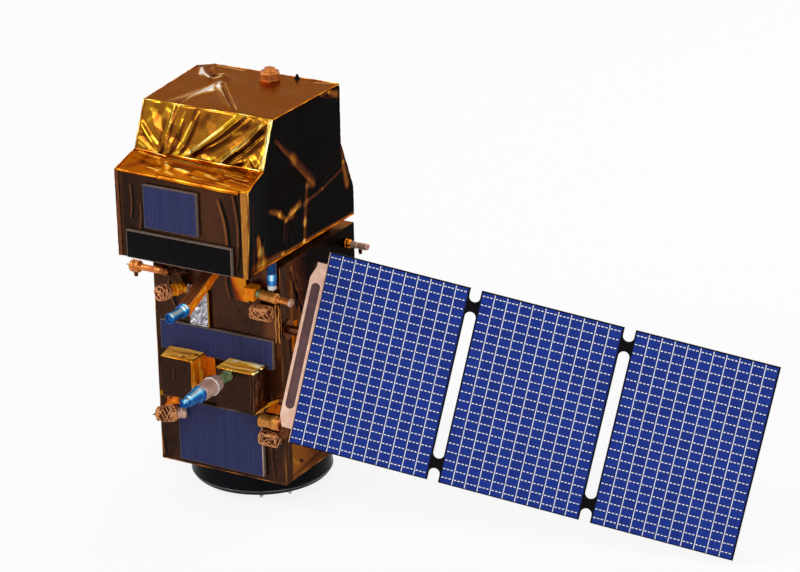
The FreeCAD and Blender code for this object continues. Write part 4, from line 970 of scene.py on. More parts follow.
flat_film("bus_front", BUS_LOW, RIGHT, UP, (BUS_WIDTH, BUS_HEIGHT), [
    (22, 190, 40, 165, 3, 2, 0.7), (76, 190, 80, 168, 2.5, 2, 0.5),
    (3.5, 200, 3, 4, 1.4, 1.2, 0.9), (112, 100, 124, 66, 2, 2, 1.2), (119, 60, 119, 6, 1, 1, 0.5),
    (60, 88, 72, 66, 2, 1.5, 1), (15, 175, 22, 150, 2, 1.5, 1),
], bus_face_painted_light, 0.85, (0.8, -0.3), FILM_BROWN, "bus_box", 0.5, 15, 21)
flat_film(
    "bus_side_right", (BUS_RIGHT, BUS_FACE, BUS_FOOT), BACK, UP, (BUS_DEPTH, BUS_HEIGHT), [
        (18, 200, 40, 150, 2, 2.5, 1.3), (60, 190, 30, 120, 2, 2.5, 1.3),
        (30, 190, 28, 160, 1.5, 2.5, 1.2), (90, 180, 110, 100, 3, 2, 1.3),
        (16, 150, 18, 100, 1.6, 1.6, 1.3), (22, 140, 30, 96, 1.6, 1.6, 1.3),
        (100, 90, 60, 40, 3, 2, 1.2), (26, 56, 60, 50, 2, 2, 0.8), (50, 20, 100, 40, 2, 2, 0.8),
    ], bus_side_painted_light, 0.85, (-0.4, -0.6), FILM_SIDE_PAINTED_SHADE, "bus_box", 0.45, 18, 22)
flat_film("bus_side_left", BUS_LOW, BACK, UP, (BUS_DEPTH, BUS_HEIGHT), [
    (20, 190, 70, 120, 4, 2, 1.4), (100, 180, 60, 60, 4, 2, 1.4), (30, 20, 90, 90, 4, 2, 1.4),
], 0.2, 0.9, (-0.6, 0.5), FILM_BROWN, "bus_box", 0.8, 20, 23, 1.5, flip=True)
flat_film("bus_back", (BUS_LEFT, BUS_BACK, BUS_FOOT), RIGHT, UP, (BUS_WIDTH, BUS_HEIGHT), [
    (20, 190, 70, 120, 4, 2, 1.4), (110, 150, 60, 40, 4, 2, 1.4), (20, 20, 50, 80, 4, 2, 1.4),
], 0.22, 0.9, (-0.6, 0.5), FILM_BROWN, "bus_box", 0.8, 20, 24, 1.5, flip=True)
flat_film(
    "bus_roof", (BUS_LEFT, BUS_FACE, BUS_TOP), RIGHT, BACK, (BUS_WIDTH, BUS_DEPTH), [], 0.5, 0.8,
    (0.6, 0.6), FILM_BROWN, "bus_box", 0.5, 16, 25, 2)
flat_film(
    "bus_floor", BUS_LOW, RIGHT, BACK, (BUS_WIDTH, BUS_DEPTH), [], 0.3, 0.8, (0.6, 0.6),
    FILM_BROWN, "bus_box", 0.4, 20, 26, 2, flip=True)
for side, seed in (("right", 27), ("left", 28)):
    low, high = corner_mm(f"bus_trim_{side}")
    flat_film(
        f"bus_trim_{side}_film", (high[0] if side == "right" else low[0], low[1], low[2]), BACK,
        UP, (high - low)[1:],
        [(1.4, 0, 1.4, 206, 1.2, 1.2, 0.5), (9.6, 0, 9.6, 206, 1.2, 1.2, 0.5)], 0.24, 0.6,
        (0.9, 0.1), FILM_BROWN, f"bus_trim_{side}", 0.3, 9, seed, flip=side == "left",
        slot="copper_film")
for side, x, low_lit, high_lit, seed in (
    ("right", BUS_RIGHT + 0.4, 0.3, 0.6, 71), ("left", BUS_LEFT - 0.2, 0.25, 0.75, 72),
):
    rim(f"rim_bus_{side}", [(x, BUS_FACE, z) for z in (BUS_FOOT, 130, BUS_TOP)], 0.5, low_lit,
        high_lit, FILM_BROWN, seed, 0.3)
foot = BUS_FOOT + 0.3
rim("rim_bus_foot", [(BUS_LEFT, BUS_FACE, foot), (BUS_RIGHT, BUS_FACE, foot),
                     (BUS_RIGHT, BUS_BACK, foot)], 0.5, 0.3, 0.6, FILM_BROWN, 73, 0.2)


# Plates on the front

PLATE_FRAME, TILE_GAP, TILE_THICK, TILE_BEVEL = 0.6, 0.12, 0.3, 0.08


def tiled_plate(node, columns):
    """A pale slab with upright blue tiles on its front face."""
    low, high = corner_mm(node)
    slab(f"{node}_slab", low + [0, 0.35, 0], high, 0.35, BEIGE_EDGE, node)
    width = (high[0] - low[0] - 2 * PLATE_FRAME + TILE_GAP) / columns
    spots, faces = [], []
    for column in range(columns):
        left = low[0] + PLATE_FRAME + column * width
        base = len(spots)
        for x, inward in ((left, TILE_BEVEL), (left + width - TILE_GAP, -TILE_BEVEL)):
            for z in (low[2] + PLATE_FRAME, high[2] - PLATE_FRAME):
                spots += [(x, low[1] + TILE_THICK, z), (x + inward, low[1], z)]
        faces += [
            tuple(base + index for index in face)
            for face in ((1, 3, 7, 5), (0, 2, 3, 1), (6, 4, 5, 7), (2, 6, 7, 3), (4, 0, 1, 5))]
    mesh = mesh_of(f"{node}_tiles", spots, faces, smooth=False)
    add_object(f"{node}_tiles", mesh, RADIATOR)
    slab(
        f"{node}_bed", (low[0] + 0.5, low[1] + 0.22, low[2] + 0.5),
        (high[0] - 0.5, low[1] + 0.8, high[2] - 0.5), 0.1, CELL_GAP)


for node, columns in (("radiator_lower", 33), ("radiator_upper", 43), ("radiator_hood", 20)):
    tiled_plate(node, columns)
low, high = corner_mm("aperture_cover")
slab("cover_slab", low + [0, 0.35, 0], high, 0.35, BEIGE_EDGE, "aperture_cover")
slab(
    "cover_face", low + [0.9, 0, 0.9], high - [0.9, 3.4, 0.9], 0.2, BLACK_SATIN)
low, high = corner_mm("radiator_lower")
edge = high[0] - 0.4, low[1] - 0.1
tube("radiator_lower_edge", [[(*edge, low[2] + 1), (*edge, high[2] - 1)]], 0.45, YOKE_COPPER,
     8)


# Solar wing

PANEL_LENGTH, PANEL_HEIGHT, PANEL_GAP = 126, 172.9, 9.9
CELL_MARGIN, CELL_COLUMNS, CELL_ROWS = 1, 11, 22
SHEET_THICK, CELL_RISE, LINE_RISE = 0.28, 0.2, 0.12
CELL_INSET, ROW_INSET = 0.5, 0.55
LINE_WIDTH, DASH_TALL, FIRST_DASH = 0.74, 0.86, 0.6
DASH_START, DASH_GAP, DASH_MARGINS = 0.9, 1.1, 1.5
WING_ROOT = (92.4, -62.8, 159.8)
WING_TURN = Matrix.Identity(4)
for degrees, axis in ((-13.5, "X"), (17.9, "Z"), (90, "X"), (-7, "Z")):
    WING_TURN = WING_TURN @ Matrix.Rotation(math.radians(degrees), 4, axis)
WING_PLACE = Matrix.Translation(WING_ROOT) @ WING_TURN


def wing_quads(name, quads, material, stands_for=""):
    """Raised flat tiles on the wing: each is left, right, bottom, top, floor and height."""
    spots, faces = [], []
    for left, right, bottom, top, floor, rise in quads:
        base = len(spots)
        for z, inset in ((floor, 0), (floor + rise, min(0.12, rise))):
            for x, y in (
                (left + inset, bottom + inset), (right - inset, bottom + inset),
                (right - inset, top - inset), (left + inset, top - inset),
            ):
                spots.append(WING_PLACE @ Vector((x, y, z)))
        faces.append((base + 4, base + 5, base + 6, base + 7))
        for side in range(4):
            after = (side + 1) % 4
            faces.append((base + side, base + after, base + 4 + after, base + 4 + side))
    add_object(name, mesh_of(name, spots, faces, smooth=False), material, stands_for, WING)


def wing_cells(index, label):
    """One panel's cells: a dark sheet, blue tiles, white lines and rows of white dashes."""
    left = index * (PANEL_LENGTH + PANEL_GAP) + CELL_MARGIN
    width, height = PANEL_LENGTH - 2 * CELL_MARGIN, PANEL_HEIGHT - 2 * CELL_MARGIN
    bottom = CELL_MARGIN - PANEL_HEIGHT / 2
    top = bottom + height
    pitch_x, pitch_y = width / CELL_COLUMNS, height / CELL_ROWS
    span = pitch_x - DASH_MARGINS
    rows = [bottom + (row + FIRST_DASH) * pitch_y for row in range(CELL_ROWS)]
    cells, lines, dashes = [], [], []
    for column in range(CELL_COLUMNS):
        x = left + column * pitch_x
        if column:
            lines.append((
                x - LINE_WIDTH / 2, x + LINE_WIDTH / 2, bottom, top, SHEET_THICK, LINE_RISE))
        for low, high in zip([bottom - ROW_INSET] + rows, rows + [top + ROW_INSET]):
            cells.append((
                x + CELL_INSET, x + pitch_x - CELL_INSET, low + ROW_INSET, high - ROW_INSET,
                SHEET_THICK, CELL_RISE))
        for y in rows:
            for dash in range(3):
                start = x + DASH_START + dash * span / 3
                dashes.append((
                    start, start + span / 3 - DASH_GAP, y - DASH_TALL / 2, y + DASH_TALL / 2,
                    SHEET_THICK, LINE_RISE))
    sheet = [(left, left + width, bottom, top, 0, SHEET_THICK)]
    wing_quads(f"cell_sheet_{label}", sheet, CELL_GAP, f"cells_{label}")
    wing_quads(f"cell_tiles_{label}", cells, CELL)
    wing_quads(f"cell_lines_{label}", lines + dashes, CELL_LINE)


for index, label in enumerate(("inner", "middle", "outer")):
    wing_cells(index, label)
YOKE_SLOT = (-9.9, -1.7, -56.9, 56.9)
wing_quads("yoke_recess", [(*YOKE_SLOT, -1.8, 0.5)], RECESS)
wing_quads("wing_edge", [
    (0.1, 0.85, -PANEL_HEIGHT / 2 + 0.2, PANEL_HEIGHT / 2 - 0.2, 0, 0.3)], YOKE_COPPER)


# Boxes and antenna


def box_corners(low, high, lean=0):
    """A box's bottom and top corners for film_hull. Its left side can lean in at the front."""
    x = (low[0] + lean, high[0], high[0], low[0])
    y = (low[1], low[1], high[1], high[1])
    return [[(a, b, level) for a, b in zip(x, y)] for level in (low[2], high[2])]


def box_top(base, rows, facet):
    return {
        "material": GOLD_FILM_PAINTED_LIT, "base": base, "gain": 0.55, "key": (0.25, -0.9), "rows": rows,
        "crumple": 1, "facet": facet, "step": 0.5}


# Painted light on the box tops: glints, and painted shade in the groove along each top.
def box_top_left_painted_light(a, b):
    return 0.5 + streaks(a, b, [
        (2, 14.5, 36, 14.5, 1.1, 1.1, -0.34), (19, 6.5, 23, 6.8, 2.6, 1.8, 0.4),
        (2, 4, 30, 8, 1.6, 1.6, 0.14), (12, 10, 34, 10.5, 0.9, 0.9, 0.2),
        (6, 20, 34, 21, 1.6, 1.4, 0.16), (25, 24, 31, 24, 1, 1.2, 0.36),
        (30, 4, 37, 11, 1, 1.6, 0.24),
    ])


def box_top_right_painted_light(a, b):
    return 0.66 + streaks(a, b, [
        (0, 12, 36, 11, 1.1, 1.1, -0.36), (8, 19.5, 16, 19, 2, 1.4, 0.5),
        (17, 17.5, 34, 15.8, 1.7, 1.6, 0.5), (4, 24, 12, 24.5, 1.3, 1, 0.34),
        (20, 24, 36, 22, 1, 1.4, 0.28), (3, 4.5, 34, 3.5, 2.4, 2.4, -0.2),
        (6, 8, 32, 7.5, 0.9, 0.9, 0.22), (14, 5, 19, 5, 0.8, 0.8, 0.34),
    ])


# Painted light on the boxes' sides: streaks of painted highlight, the left box lighter.
def box_side_left_painted_light(a, b):
    return 0.46 + streaks(a, b, [
        (2, 36, 4, 5, 1.2, 1.4, 0.3), (12, 36, 14, 22, 1, 1.4, 0.34),
        (16, 22, 13, 5, 1.4, 1, 0.26), (8, 30, 9, 10, 2.4, 3.2, -0.06),
    ])


def box_side_right_painted_light(a, b):
    return 0.29 + streaks(a, b, [
        (14, 34, 15, 10, 1, 1, 0.2), (6, 30, 5, 4, 0.8, 1.2, 0.14), (20, 10, 14, 2, 1.2, 1.4, 0.2),
    ])


BOX_FRONT = {"base": 0.24, "gain": 0.4, "key": (0.8, 0.1), "crumple": 0.18, "facet": 12}
BOX_DARK = {"base": 0.24, "gain": 0.6, "crumple": 0.5, "facet": 9, "step": 1}


def equipment_box(side, lean, front_fold, top, right, rims):
    """A box wrapped in film, with beads of film on its edges whose brightness is painted light."""
    node = f"equipment_box_{side}"
    film_hull(node, *box_corners(*corner_mm(node), lean), {
        "front": {**BOX_FRONT, "rows": [front_fold]}, "top": top, "right": right,
        "left": BOX_DARK, "bottom": BOX_DARK}, "gold_film", node, material=FILM_BROWN)
    for label, start, end, radius, low_lit, high_lit, material, seed in rims:
        rim(f"rim_box_{side}_{label}", [start, end], radius, low_lit, high_lit, material, seed,
            0.4)


(x0, y0, z0), (x1, y1, z1) = corner_mm("equipment_box_left")
equipment_box("left", 6, (12, 14, 14, 30, 1.2, 1, 0.5), box_top(box_top_left_painted_light, [
    (1, 5, 27, 6, 2.2, 3, 1.4), (3, 14, 34, 14.5, 3, 2.4, 1.8), (20, 3, 33, 16, 2, 2.4, 1.4),
    (27, 1, 37, 9, 2, 2, 1.2),
], 6.5), {
    "material": ORANGE_FILM_PAINTED_LIT, "base": box_side_left_painted_light, "gain": 0.34, "key": (0.8, -0.3),
    "crumple": 1.5, "facet": 5, "step": 0.5,
}, [
    ("front", (x0 + 6, y0 - 0.1, z1), (x1, y0 - 0.1, z1), 0.5, 0.5, 0.8, FILM_ORANGE, 81),
    ("side", (x1, y0, z1), (x1, y1, z1), 0.6, 0.5, 0.9, FILM_GOLD, 82),
    ("edge", (x1, y0, z1), (x1, y0, z0), 0.6, 0.45, 0.8, FILM_ORANGE, 83)])
(x0, y0, z0), (x1, y1, z1) = corner_mm("equipment_box_right")
equipment_box("right", 0, (34.5, 3, 35.5, 36, 1, 0.8, 0.5), box_top(box_top_right_painted_light, [
    (2, 4, 34, 5, 2.4, 2.8, 1.4), (1, 11.5, 35, 11, 3, 2, 1.8), (9, 17, 36, 18, 2.2, 3.2, 1.8),
], 8), {
    "base": box_side_right_painted_light, "gain": 0.4, "key": (0.8, -0.2), "crumple": 0.6, "facet": 4.4,
    "step": 0.5,
}, [
    ("front", (x0, y0 - 0.1, z1), (x1, y0 - 0.1, z1), 0.5, 0.5, 0.85, FILM_ORANGE, 84),
    ("near", (x1 - 0.6, y0, z1 + 0.2), (x1, y0 + 11, z1 + 0.2), 1.3, 0.9, 1, FILM_GOLD, 85),
    ("far", (x1, y0 + 13, z1 + 0.2), (x1, y1, z1), 0.9, 0.75, 1, FILM_GOLD, 86),
    ("edge", (x1, y0, z1), (x1, y0, z0), 0.35, 0.3, 0.5, FILM_BROWN, 87)])
y = BUS_FACE - 0.7
quad_film(
    "patch_between_boxes", [(-15, y, 113), (-4, y, 116), (-4.6, y, 133.2), (-15, y, 133.2)],
    ORANGE_FILM_PAINTED_LIT, 0.5, 0.4, (0.8, -0.3), crumple=0.7, seed=88)

ANTENNA_X, ANTENNA_Z = 26, 131.5
RING_START = -106.2
# A painted highlight line along the blue cone and its tip.
CONE_PAINTED_HIGHLIGHT = ((0.45, 0, 0.89), 8, 0.62)
for node, material, slot, profile in (
    ("antenna_base", GREEN_METAL, "green_anodised", [
        (5.2, 0), (5.4, 0.6), (5, 3), (4.6, 5), (4.6, 17.6), (4.2, 18.2)]),
    ("antenna_collar", ROSE_METAL, "pale_metal", [
        (6.6, 2.2), (7.4, 3), (7.8, 10.2), (8, 10.6), (8, 12.8), (7.8, 13.2), (7.8, 21), (7.6, 28),
        (7.2, 29.3)]),
):
    place = (ANTENNA_X, corner_mm(node)[1][1], ANTENNA_Z)
    lathe(f"{node}_turned", profile, place, FORWARD, material, 64, node)
lathe(
    "antenna_collar_ring", [(8, 10.4), (8.6, 10.7), (8.6, 12.7), (8, 13)],
    (ANTENNA_X, RING_START, ANTENNA_Z), FORWARD, PALE_METAL, 64, bevel=0.2)
for node, slot, base, crumple, facet, seed, segments, step, profile in (
    ("antenna_cone", "blue_anodised", 0.36, 0.12, 6, 89, 64, 0.7, [
        (0.5, 0), (7, 0), (7.4, 0.6), (7.4, 4.6), (7, 5.4), (6.4, 8), (5.5, 15), (5, 18.6),
        (4.3, 19.2), (4.1, 20.2), (4.1, 24.8), (3.6, 25.4)]),
    ("antenna_tip", "pale_metal", 0.3, 0.05, 4, 90, 48, 0.4, [
        (3.4, -0.4), (3.6, 0), (3.6, 1.1), (3.2, 1.5), (2.6, 1.5), (2.3, 0.6), (0.3, 0.4)]),
):
    sleeve(
        f"{node}_film", profile, (ANTENNA_X, corner_mm(node)[1][1], ANTENNA_Z), FORWARD,
        FILM_BLUE, base, 0.3, crumple, facet, seed, segments, step, node, painted_highlight=CONE_PAINTED_HIGHLIGHT)


# Arm and the group right of it

ARM_LOW, ARM_HIGH = corner_mm("forward_arm")
ARM_TALL = 10


# Painted light on the arm's right side: two glints.
def arm_side_painted_light(a, b):
    return 0.48 + streaks(a, b, [
        (14, 7, 28, 6, 1.2, 1.8, 0.34), (3, 5, 10, 4, 1.2, 1.2, 0.24),
    ])


arm_bottom = [
    (x, y, z if y == ARM_LOW[1] else ARM_HIGH[2] - ARM_TALL)
    for x, y, z in box_corners(ARM_LOW, ARM_HIGH)[0]]
arm_top = [(x, y, z + ARM_TALL) for x, y, z in arm_bottom]
# Painted light and shade: each face of the arm has its own brightness.
film_hull("forward_arm_film", arm_bottom, arm_top, {
    "top": {
        "material": BROWN_FILM_PAINTED_LIT, "base": 0.2, "gain": 0.3, "key": (0.9, -0.2), "crumple": 0.3,
        "facet": 8, "rows": [
            (2.4, 1, 2.2, 56, 1.2, 1.2, 0.4), (7.6, 2, 7, 56, 1.6, 1, 0.4),
        ]},
    "right": {
        "material": ORANGE_FILM_PAINTED_LIT, "base": arm_side_painted_light, "gain": 0.4, "key": (0.5, -0.6),
        "crumple": 1.5, "facet": 4.4},
    "front": {"material": ORANGE_FILM_PAINTED_LIT, "base": 0.5, "crumple": 0.8, "facet": 4},
    "left": {"base": 0.25}, "bottom": {"base": 0.3}, "back": {"base": 0.3},
}, "copper_film", "forward_arm", material=FILM_BROWN)
rim("rim_arm_right", [arm_top[1], arm_top[2]], 0.35, 0.45, 0.7, BROWN_FILM_PAINTED_LIT, 91, 0.4)
HORN_PLACE = (0.9, ARM_LOW[1], ARM_LOW[2] + ARM_TALL / 2)
# The horn has a painted highlight line too.
sleeve("blue_horn_film", rounded([
    (0.5, 0), (5.4, 0), (6.2, 0.7), (6.2, 2.2), (5.4, 2.7), (5.4, 3.6), (6, 4.1), (6, 5.8),
    (4.9, 6.9), (4.5, 11), (4.5, 17.6), (4.9, 19.4), (4.9, 23.2), (4.5, 23.9), (3.9, 23.9),
    (3.2, 21.5), (0.5, 21),
], 0.3), HORN_PLACE, FORWARD, FILM_BLUE, 0.34, 0.4, 0.2, 4, 92, 64, 0.5,
    "blue_horn", painted_highlight=((0.6, 0, 0.8), 6, 0.68))

low, high = corner_mm("valve_strap")
STRAP_BASE, STRAP_TOP = (21.5, 34.9), (13.7, 30.7)


def strap_painted_light(a, b):
    """Painted shade dark red low down on the left, painted light orange above and to the right."""
    return np.clip(0.24 + 0.02 * (b - 6) + 0.055 * (a - 3), 0.18, 0.7)


quad_film(
    "valve_strap_film", facing(low[1], STRAP_BASE, low[2], STRAP_TOP, high[2]), ORANGE_FILM_PAINTED_LIT,
    strap_painted_light, 0.3, (0.6, -0.5), crumple=0.4, seed=93, stands_for="valve_strap")
for column, side in enumerate(("left", "right")):
    quad_film(
        f"valve_strap_{side}", sideways(STRAP_BASE[column], STRAP_TOP[column], low, high),
        FILM_ORANGE, 0.3, crumple=0.3, seed=94 + column, flip=side == "left")
low, high = corner_mm("valve_block")
# Painted light and shade: the block's top is lightest, its left and bottom darkest.
film_hull("valve_block_film", *box_corners(low, high), {
    "front": {"base": 0.56}, "top": {"base": 0.6}, "right": {"base": 0.52},
    "left": {"base": 0.35}, "bottom": {"base": 0.3}},
    "copper_metal", "valve_block", material=ORANGE_FILM_PAINTED_LIT, crumple=1.1, facet=3, step=0.4,
    edge=0.8)
NOZZLE_START = (high[0], -70, (low[2] + high[2]) / 2)
DROOP = math.radians(5)
NOZZLE_ALONG = (math.cos(DROOP), 0, -math.sin(DROOP))
for name, material, segments, slot, stands_for, bevel, profile in (
    ("valve_ring_turned", GREEN_METAL, 40, "green_anodised", "valve_ring", 0.25, [
        (3.2, -0.4), (3.2, 0.5), (3.8, 0.9), (3.8, 1.9), (3.3, 2.2), (3.3, 2.6), (3.8, 2.9),
        (3.8, 3.9), (3.2, 4.5)]),
    ("nozzle_upper_barrel", BRASS, 48, "copper_metal", "thruster_nozzle_upper", 0.3, [
        (4.3, 4.5), (4.9, 5), (4.9, 6), (4.7, 6.4), (4.7, 18.2), (4.9, 18.6), (4.9, 20),
        (4.2, 20.5), (3.2, 20.8)]),
    ("nozzle_upper_tip", COPPER, 40, "copper_metal", "", 0.3, [
        (3, 20.4), (3.3, 20.8), (3.3, 22.4), (3, 22.8), (3, 32.6), (3.2, 32.7)]),
    ("nozzle_upper_lip", ROSE_METAL, 40, "copper_metal", "", 0.25, [
        (3.1, 32.6), (3.7, 33.2), (3.7, 35.1), (3.3, 35.5), (2.7, 35.5), (2.4, 33.6)]),
):
    lathe(name, profile, NOZZLE_START, NOZZLE_ALONG, material, segments, stands_for, bevel)

low, high = corner_mm("braided_knot_upper")
sleeve("knot_upper_core", [
    (0.5, 0), (4.6, 1), (5.4, 5), (5.2, 12), (4.2, 16), (0.5, 17.6),
], (low[0] + 0.4, -71.4, 187.9), RIGHT, FILM_COPPER, 0.22, 0.45, 0.9, 4, 95, 40,
    stands_for="braided_knot_upper")
tangle("knot_upper_wire", low + [0, 0.4, 0], high - [0, 0.2, 0], 0.5, 15, 96)

low, high = corner_mm("hood_sensor")
SENSOR_X, SENSOR_Y = (low[:2] + high[:2]) / 2
SENSOR_PLACE = (SENSOR_X, SENSOR_Y, high[2])
# Painted light: a dark body, a bright band as a painted highlight, a lighter foot.
for name, base, painted_highlight, profile in (
    ("body", 0.1, 0.1, [(0.5, 0), (3.9, 0), (4.3, 0.5), (4.3, 11), (4.1, 11.4)]),
    ("painted_highlight_band", 0.44, 0.55, [(4.1, 11.3), (4.3, 11.6), (4.3, 16.6), (4.1, 16.9)]),
    ("foot", 0.3, 0.3, [(4.1, 16.8), (4.3, 17.1), (4.3, 21.2), (3.8, 21.9)]),
):
    sleeve(
        f"hood_sensor_{name}", profile, SENSOR_PLACE, DOWN, FILM_BLUE, base,
        0.3, 0.1, 5, 98, 48, 0.5, "hood_sensor" if name == "body" else "",
        painted_highlight=((0.5, -0.87, 0), 8, painted_highlight))
lathe(
    "hood_sensor_end", [(3.9, 21.6), (3.9, 25.4), (3.4, 25.9), (2.6, 25.9), (2.4, 24.6)],
    SENSOR_PLACE, DOWN, PALE_METAL, 40, bevel=0.3)
tube("hood_sensor_pins", [
    [(x, SENSOR_Y - 1, low[2] + rise) for rise in (2.2, 0.1)]
    for x in (SENSOR_X - 1.8, SENSOR_X + 1.8)], 0.7, PALE_METAL, 8)

low, high = corner_mm("feed_strip")
across = (low[0], high[0])
quad_film(
    "feed_strip_film", facing(low[1], across, low[2], across, high[2]), FILM_BROWN, 0.38, 0.5,
    crumple=0.4, facet=4, seed=97, slot="copper_metal", stands_for="feed_strip")
tube("feed_strip_edges", [
    [(x + 0.35 * math.sin(k * 1.3 + x), low[1] - 0.1, low[2] + k * (high[2] - low[2]) / 12)
     for k in range(13)]
    for x in (low[0] + 0.8, high[0] - 0.8)], 0.62, BRASS)


# Left group

CAN_ANGLE = math.radians(27)
CAN_ALONG = (-math.sin(CAN_ANGLE), -math.cos(CAN_ANGLE), 0)
CAN_PLACE = (-33, BUS_FACE, 194.2)
sleeve("can_upper_root", [
    (4.2, 0), (5, 1.4), (4.4, 3.6), (5.4, 5.4), (4.6, 7.4), (5.6, 9.2), (4.8, 11.4), (5.6, 13.2),
    (5, 15.6), (5.4, 16.4),
], CAN_PLACE, CAN_ALONG, ORANGE_FILM_PAINTED_LIT, 0.56, 1.5, 1.4, 3.6, 101,
    stands_for="thruster_can_upper")
wire_ball(
    "can_upper", [(5.2, 15.4), (6.6, 17.4), (7.1, 21), (7, 25), (5.8, 28), (2.4, 29)], CAN_PLACE,
    CAN_ALONG, (0.7, 0.3), 0.2, 0.35, 0.5, 22, 0.9, 102)

ROD_PLACE = (-52, -72, 209)
lathe("rod_upper_turned", [
    (2.2, -0.5), (3, 0), (3, 4), (3.5, 4.4), (3.5, 6.2), (3, 6.6), (3, 20), (4.4, 21.4),
    (5.4, 22.4), (5.6, 23.2), (5.6, 25.6), (4.9, 26.2), (4.9, 27.2), (5.6, 27.8), (5.6, 30.4),
    (4.6, 31.6), (1.5, 32), (0.9, 33.4), (0.35, 37),
], ROD_PLACE, LEFT, COPPER, 40, "thruster_rod_upper", 0.4)
lathe(
    "rod_upper_nub", [(2, 3), (2, 7.2), (1.5, 8.2), (1.9, 8.7), (1.7, 9.5)],
    (-79, *ROD_PLACE[1:]), DOWN, DARK_COPPER, 24, bevel=0.25)
slab("rod_upper_foot", (-58, -72, 206), (-52, BUS_FACE, 212), 0.9, DARK_COPPER)
tube("rod_wires", [
    [(-54, -69, 206), (-50, -71, 203), (-45, -70, 206), (-40, -68, 204), (-34, -66, 208),
     (-30, -65, 213)],
    [(-55, -68, 211), (-48, -70, 209), (-43, -69, 211), (-37, -67, 208), (-28, -65.2, 210)],
    [(-52, -70, 204), (-47, -72, 208), (-42, -71, 203), (-38, -68, 201), (-33, -66, 203)],
    [(-50, -68, 214), (-44, -70, 213), (-40, -69, 215), (-33, -67, 213), (-24, -65.2, 216)],
], 0.7, DARK_COPPER, 8)
sleeve(
    "rod_wrap", [(2.6, -8.6), (3.5, -7), (3, -5), (3.7, -3.2), (3.1, -1.4), (3.2, 0.4)],
    ROD_PLACE, LEFT, FILM_COPPER, 0.4, 0.5, 0.9, 3.6, 104, 40)

low, high = corner_mm("foil_patch")
seam = high[0] - 1.6
patch, strip = (low[0], seam), (high[0] - 1.8, high[0])
quad_film(
    "foil_patch_film", facing(low[1], patch, low[2], patch, high[2]), FILM_SILVER, 0.46, 0.75,
    (0.7, -0.6), crumple=1.5, facet=2, seed=105, step=0.4, slot="silver_film",
    stands_for="foil_patch")
quad_film(
    "foil_patch_strip", facing(low[1] + 0.2, strip, low[2], strip, high[2]), FILM_GOLD, 0.5,
    0.5, crumple=0.5, facet=4, seed=106, step=0.4, slot="silver_film")
for side, x, material in (("left", low[0], FILM_SILVER), ("right", high[0], FILM_GOLD)):
    quad_film(
        f"foil_patch_{side}", sideways(x, x, low, high), material, 0.4, crumple=0.3, seed=107,
        step=0.5, slot="silver_film", flip=side == "left")
quad_film(
    "foil_scrap", [
        (-31, BUS_FACE - 2, 187), (-22.5, BUS_FACE - 2.6, 184), (-21, BUS_FACE - 1.6, 198),
        (-29.5, BUS_FACE - 1, 199)],
    FILM_SILVER, 0.5, 0.6, (0.7, -0.6), crumple=1.6, facet=3, seed=108, step=0.4,
    slot="silver_film")


# Lower thrusters

LOW_ANGLE = math.radians(55)
LOW_ALONG = (-math.sin(LOW_ANGLE), -math.cos(LOW_ANGLE), 0)
LOW_PLACE = (-34.9, -70, 75.6)
lathe("can_lower_root", [
    (3.8, -1.6), (4.7, -1), (5.3, 0.2), (5.3, 3.2), (4.7, 3.8), (4.7, 4.8), (5.3, 5.4), (5.3, 7),
    (4.6, 7.6),
], LOW_PLACE, LOW_ALONG, ROSE_METAL, 48, "thruster_can_lower", 0.4)
wire_ball(
    "can_lower",
    [(5.4, 6.8), (7.2, 8.2), (7.7, 12), (7.5, 18), (7.2, 22), (5.8, 25.4), (1.6, 26.5)],
    LOW_PLACE, LOW_ALONG, (0.8, 0.35), 0.1, 0.3, 0.46, 19, 1.1, 111)
lathe(
    "can_lower_spike", [(1.6, 25.6), (1.1, 26.8), (0.5, 28.2), (0.2, 29.6)], LOW_PLACE,
    LOW_ALONG, DARK_COPPER, 16, bevel=0)

low, high = corner_mm("thruster_nozzle_lower")
BARREL_PLACE = (low[0], -71.2, 85.5)
lathe("nozzle_lower_turned", [
    (5.6, 0), (6.6, 0.6), (6.6, 2.4), (6.1, 2.9), (5.9, 7.6), (6.1, 12.2), (6.6, 12.8),
    (6.8, 13.6), (6.8, 17), (6.2, 17.6), (6, 19),
], BARREL_PLACE, RIGHT, BRASS, 56, "thruster_nozzle_lower", 0.4)
lathe(
    "nozzle_lower_rim", [(5.9, 18.6), (6.7, 18.9), (6.7, 21), (6.2, 21.5), (5.2, 21.3)],
    BARREL_PLACE, RIGHT, COPPER, 56, bevel=0.3)
slab("nozzle_lower_elbow", (high[0] - 5.2, -75.2, low[2]), (high[0], -67.2, 85.3), 1.8,
     DARK_COPPER)
sleeve(
    "nozzle_lower_wrap", [(3, 0), (4, 1.6), (3.3, 4), (4.1, 6.4), (3.2, 8.8), (2.4, 9.6)],
    (high[0] - 4.2, -70.8, low[2] + 10.4), DOWN, FILM_BROWN, 0.4, 0.5, 0.7, 3.4,
    113, 36)
low, high = corner_mm("braided_knot_lower")
sleeve("knot_lower_core", [
    (0.5, 0), (4.4, 1.2), (5, 6), (4.8, 12), (3.8, 15.6), (0.5, 17.2),
], (low[0] + 0.4, -71, (low[2] + high[2]) / 2), RIGHT, FILM_COPPER, 0.1, 0.4,
    0.9, 4, 114, 40, stands_for="braided_knot_lower")
tangle("knot_lower_wire", low + [0, 0.4, 0], high - [0, 0.2, 0], 0.42, 18, 115)

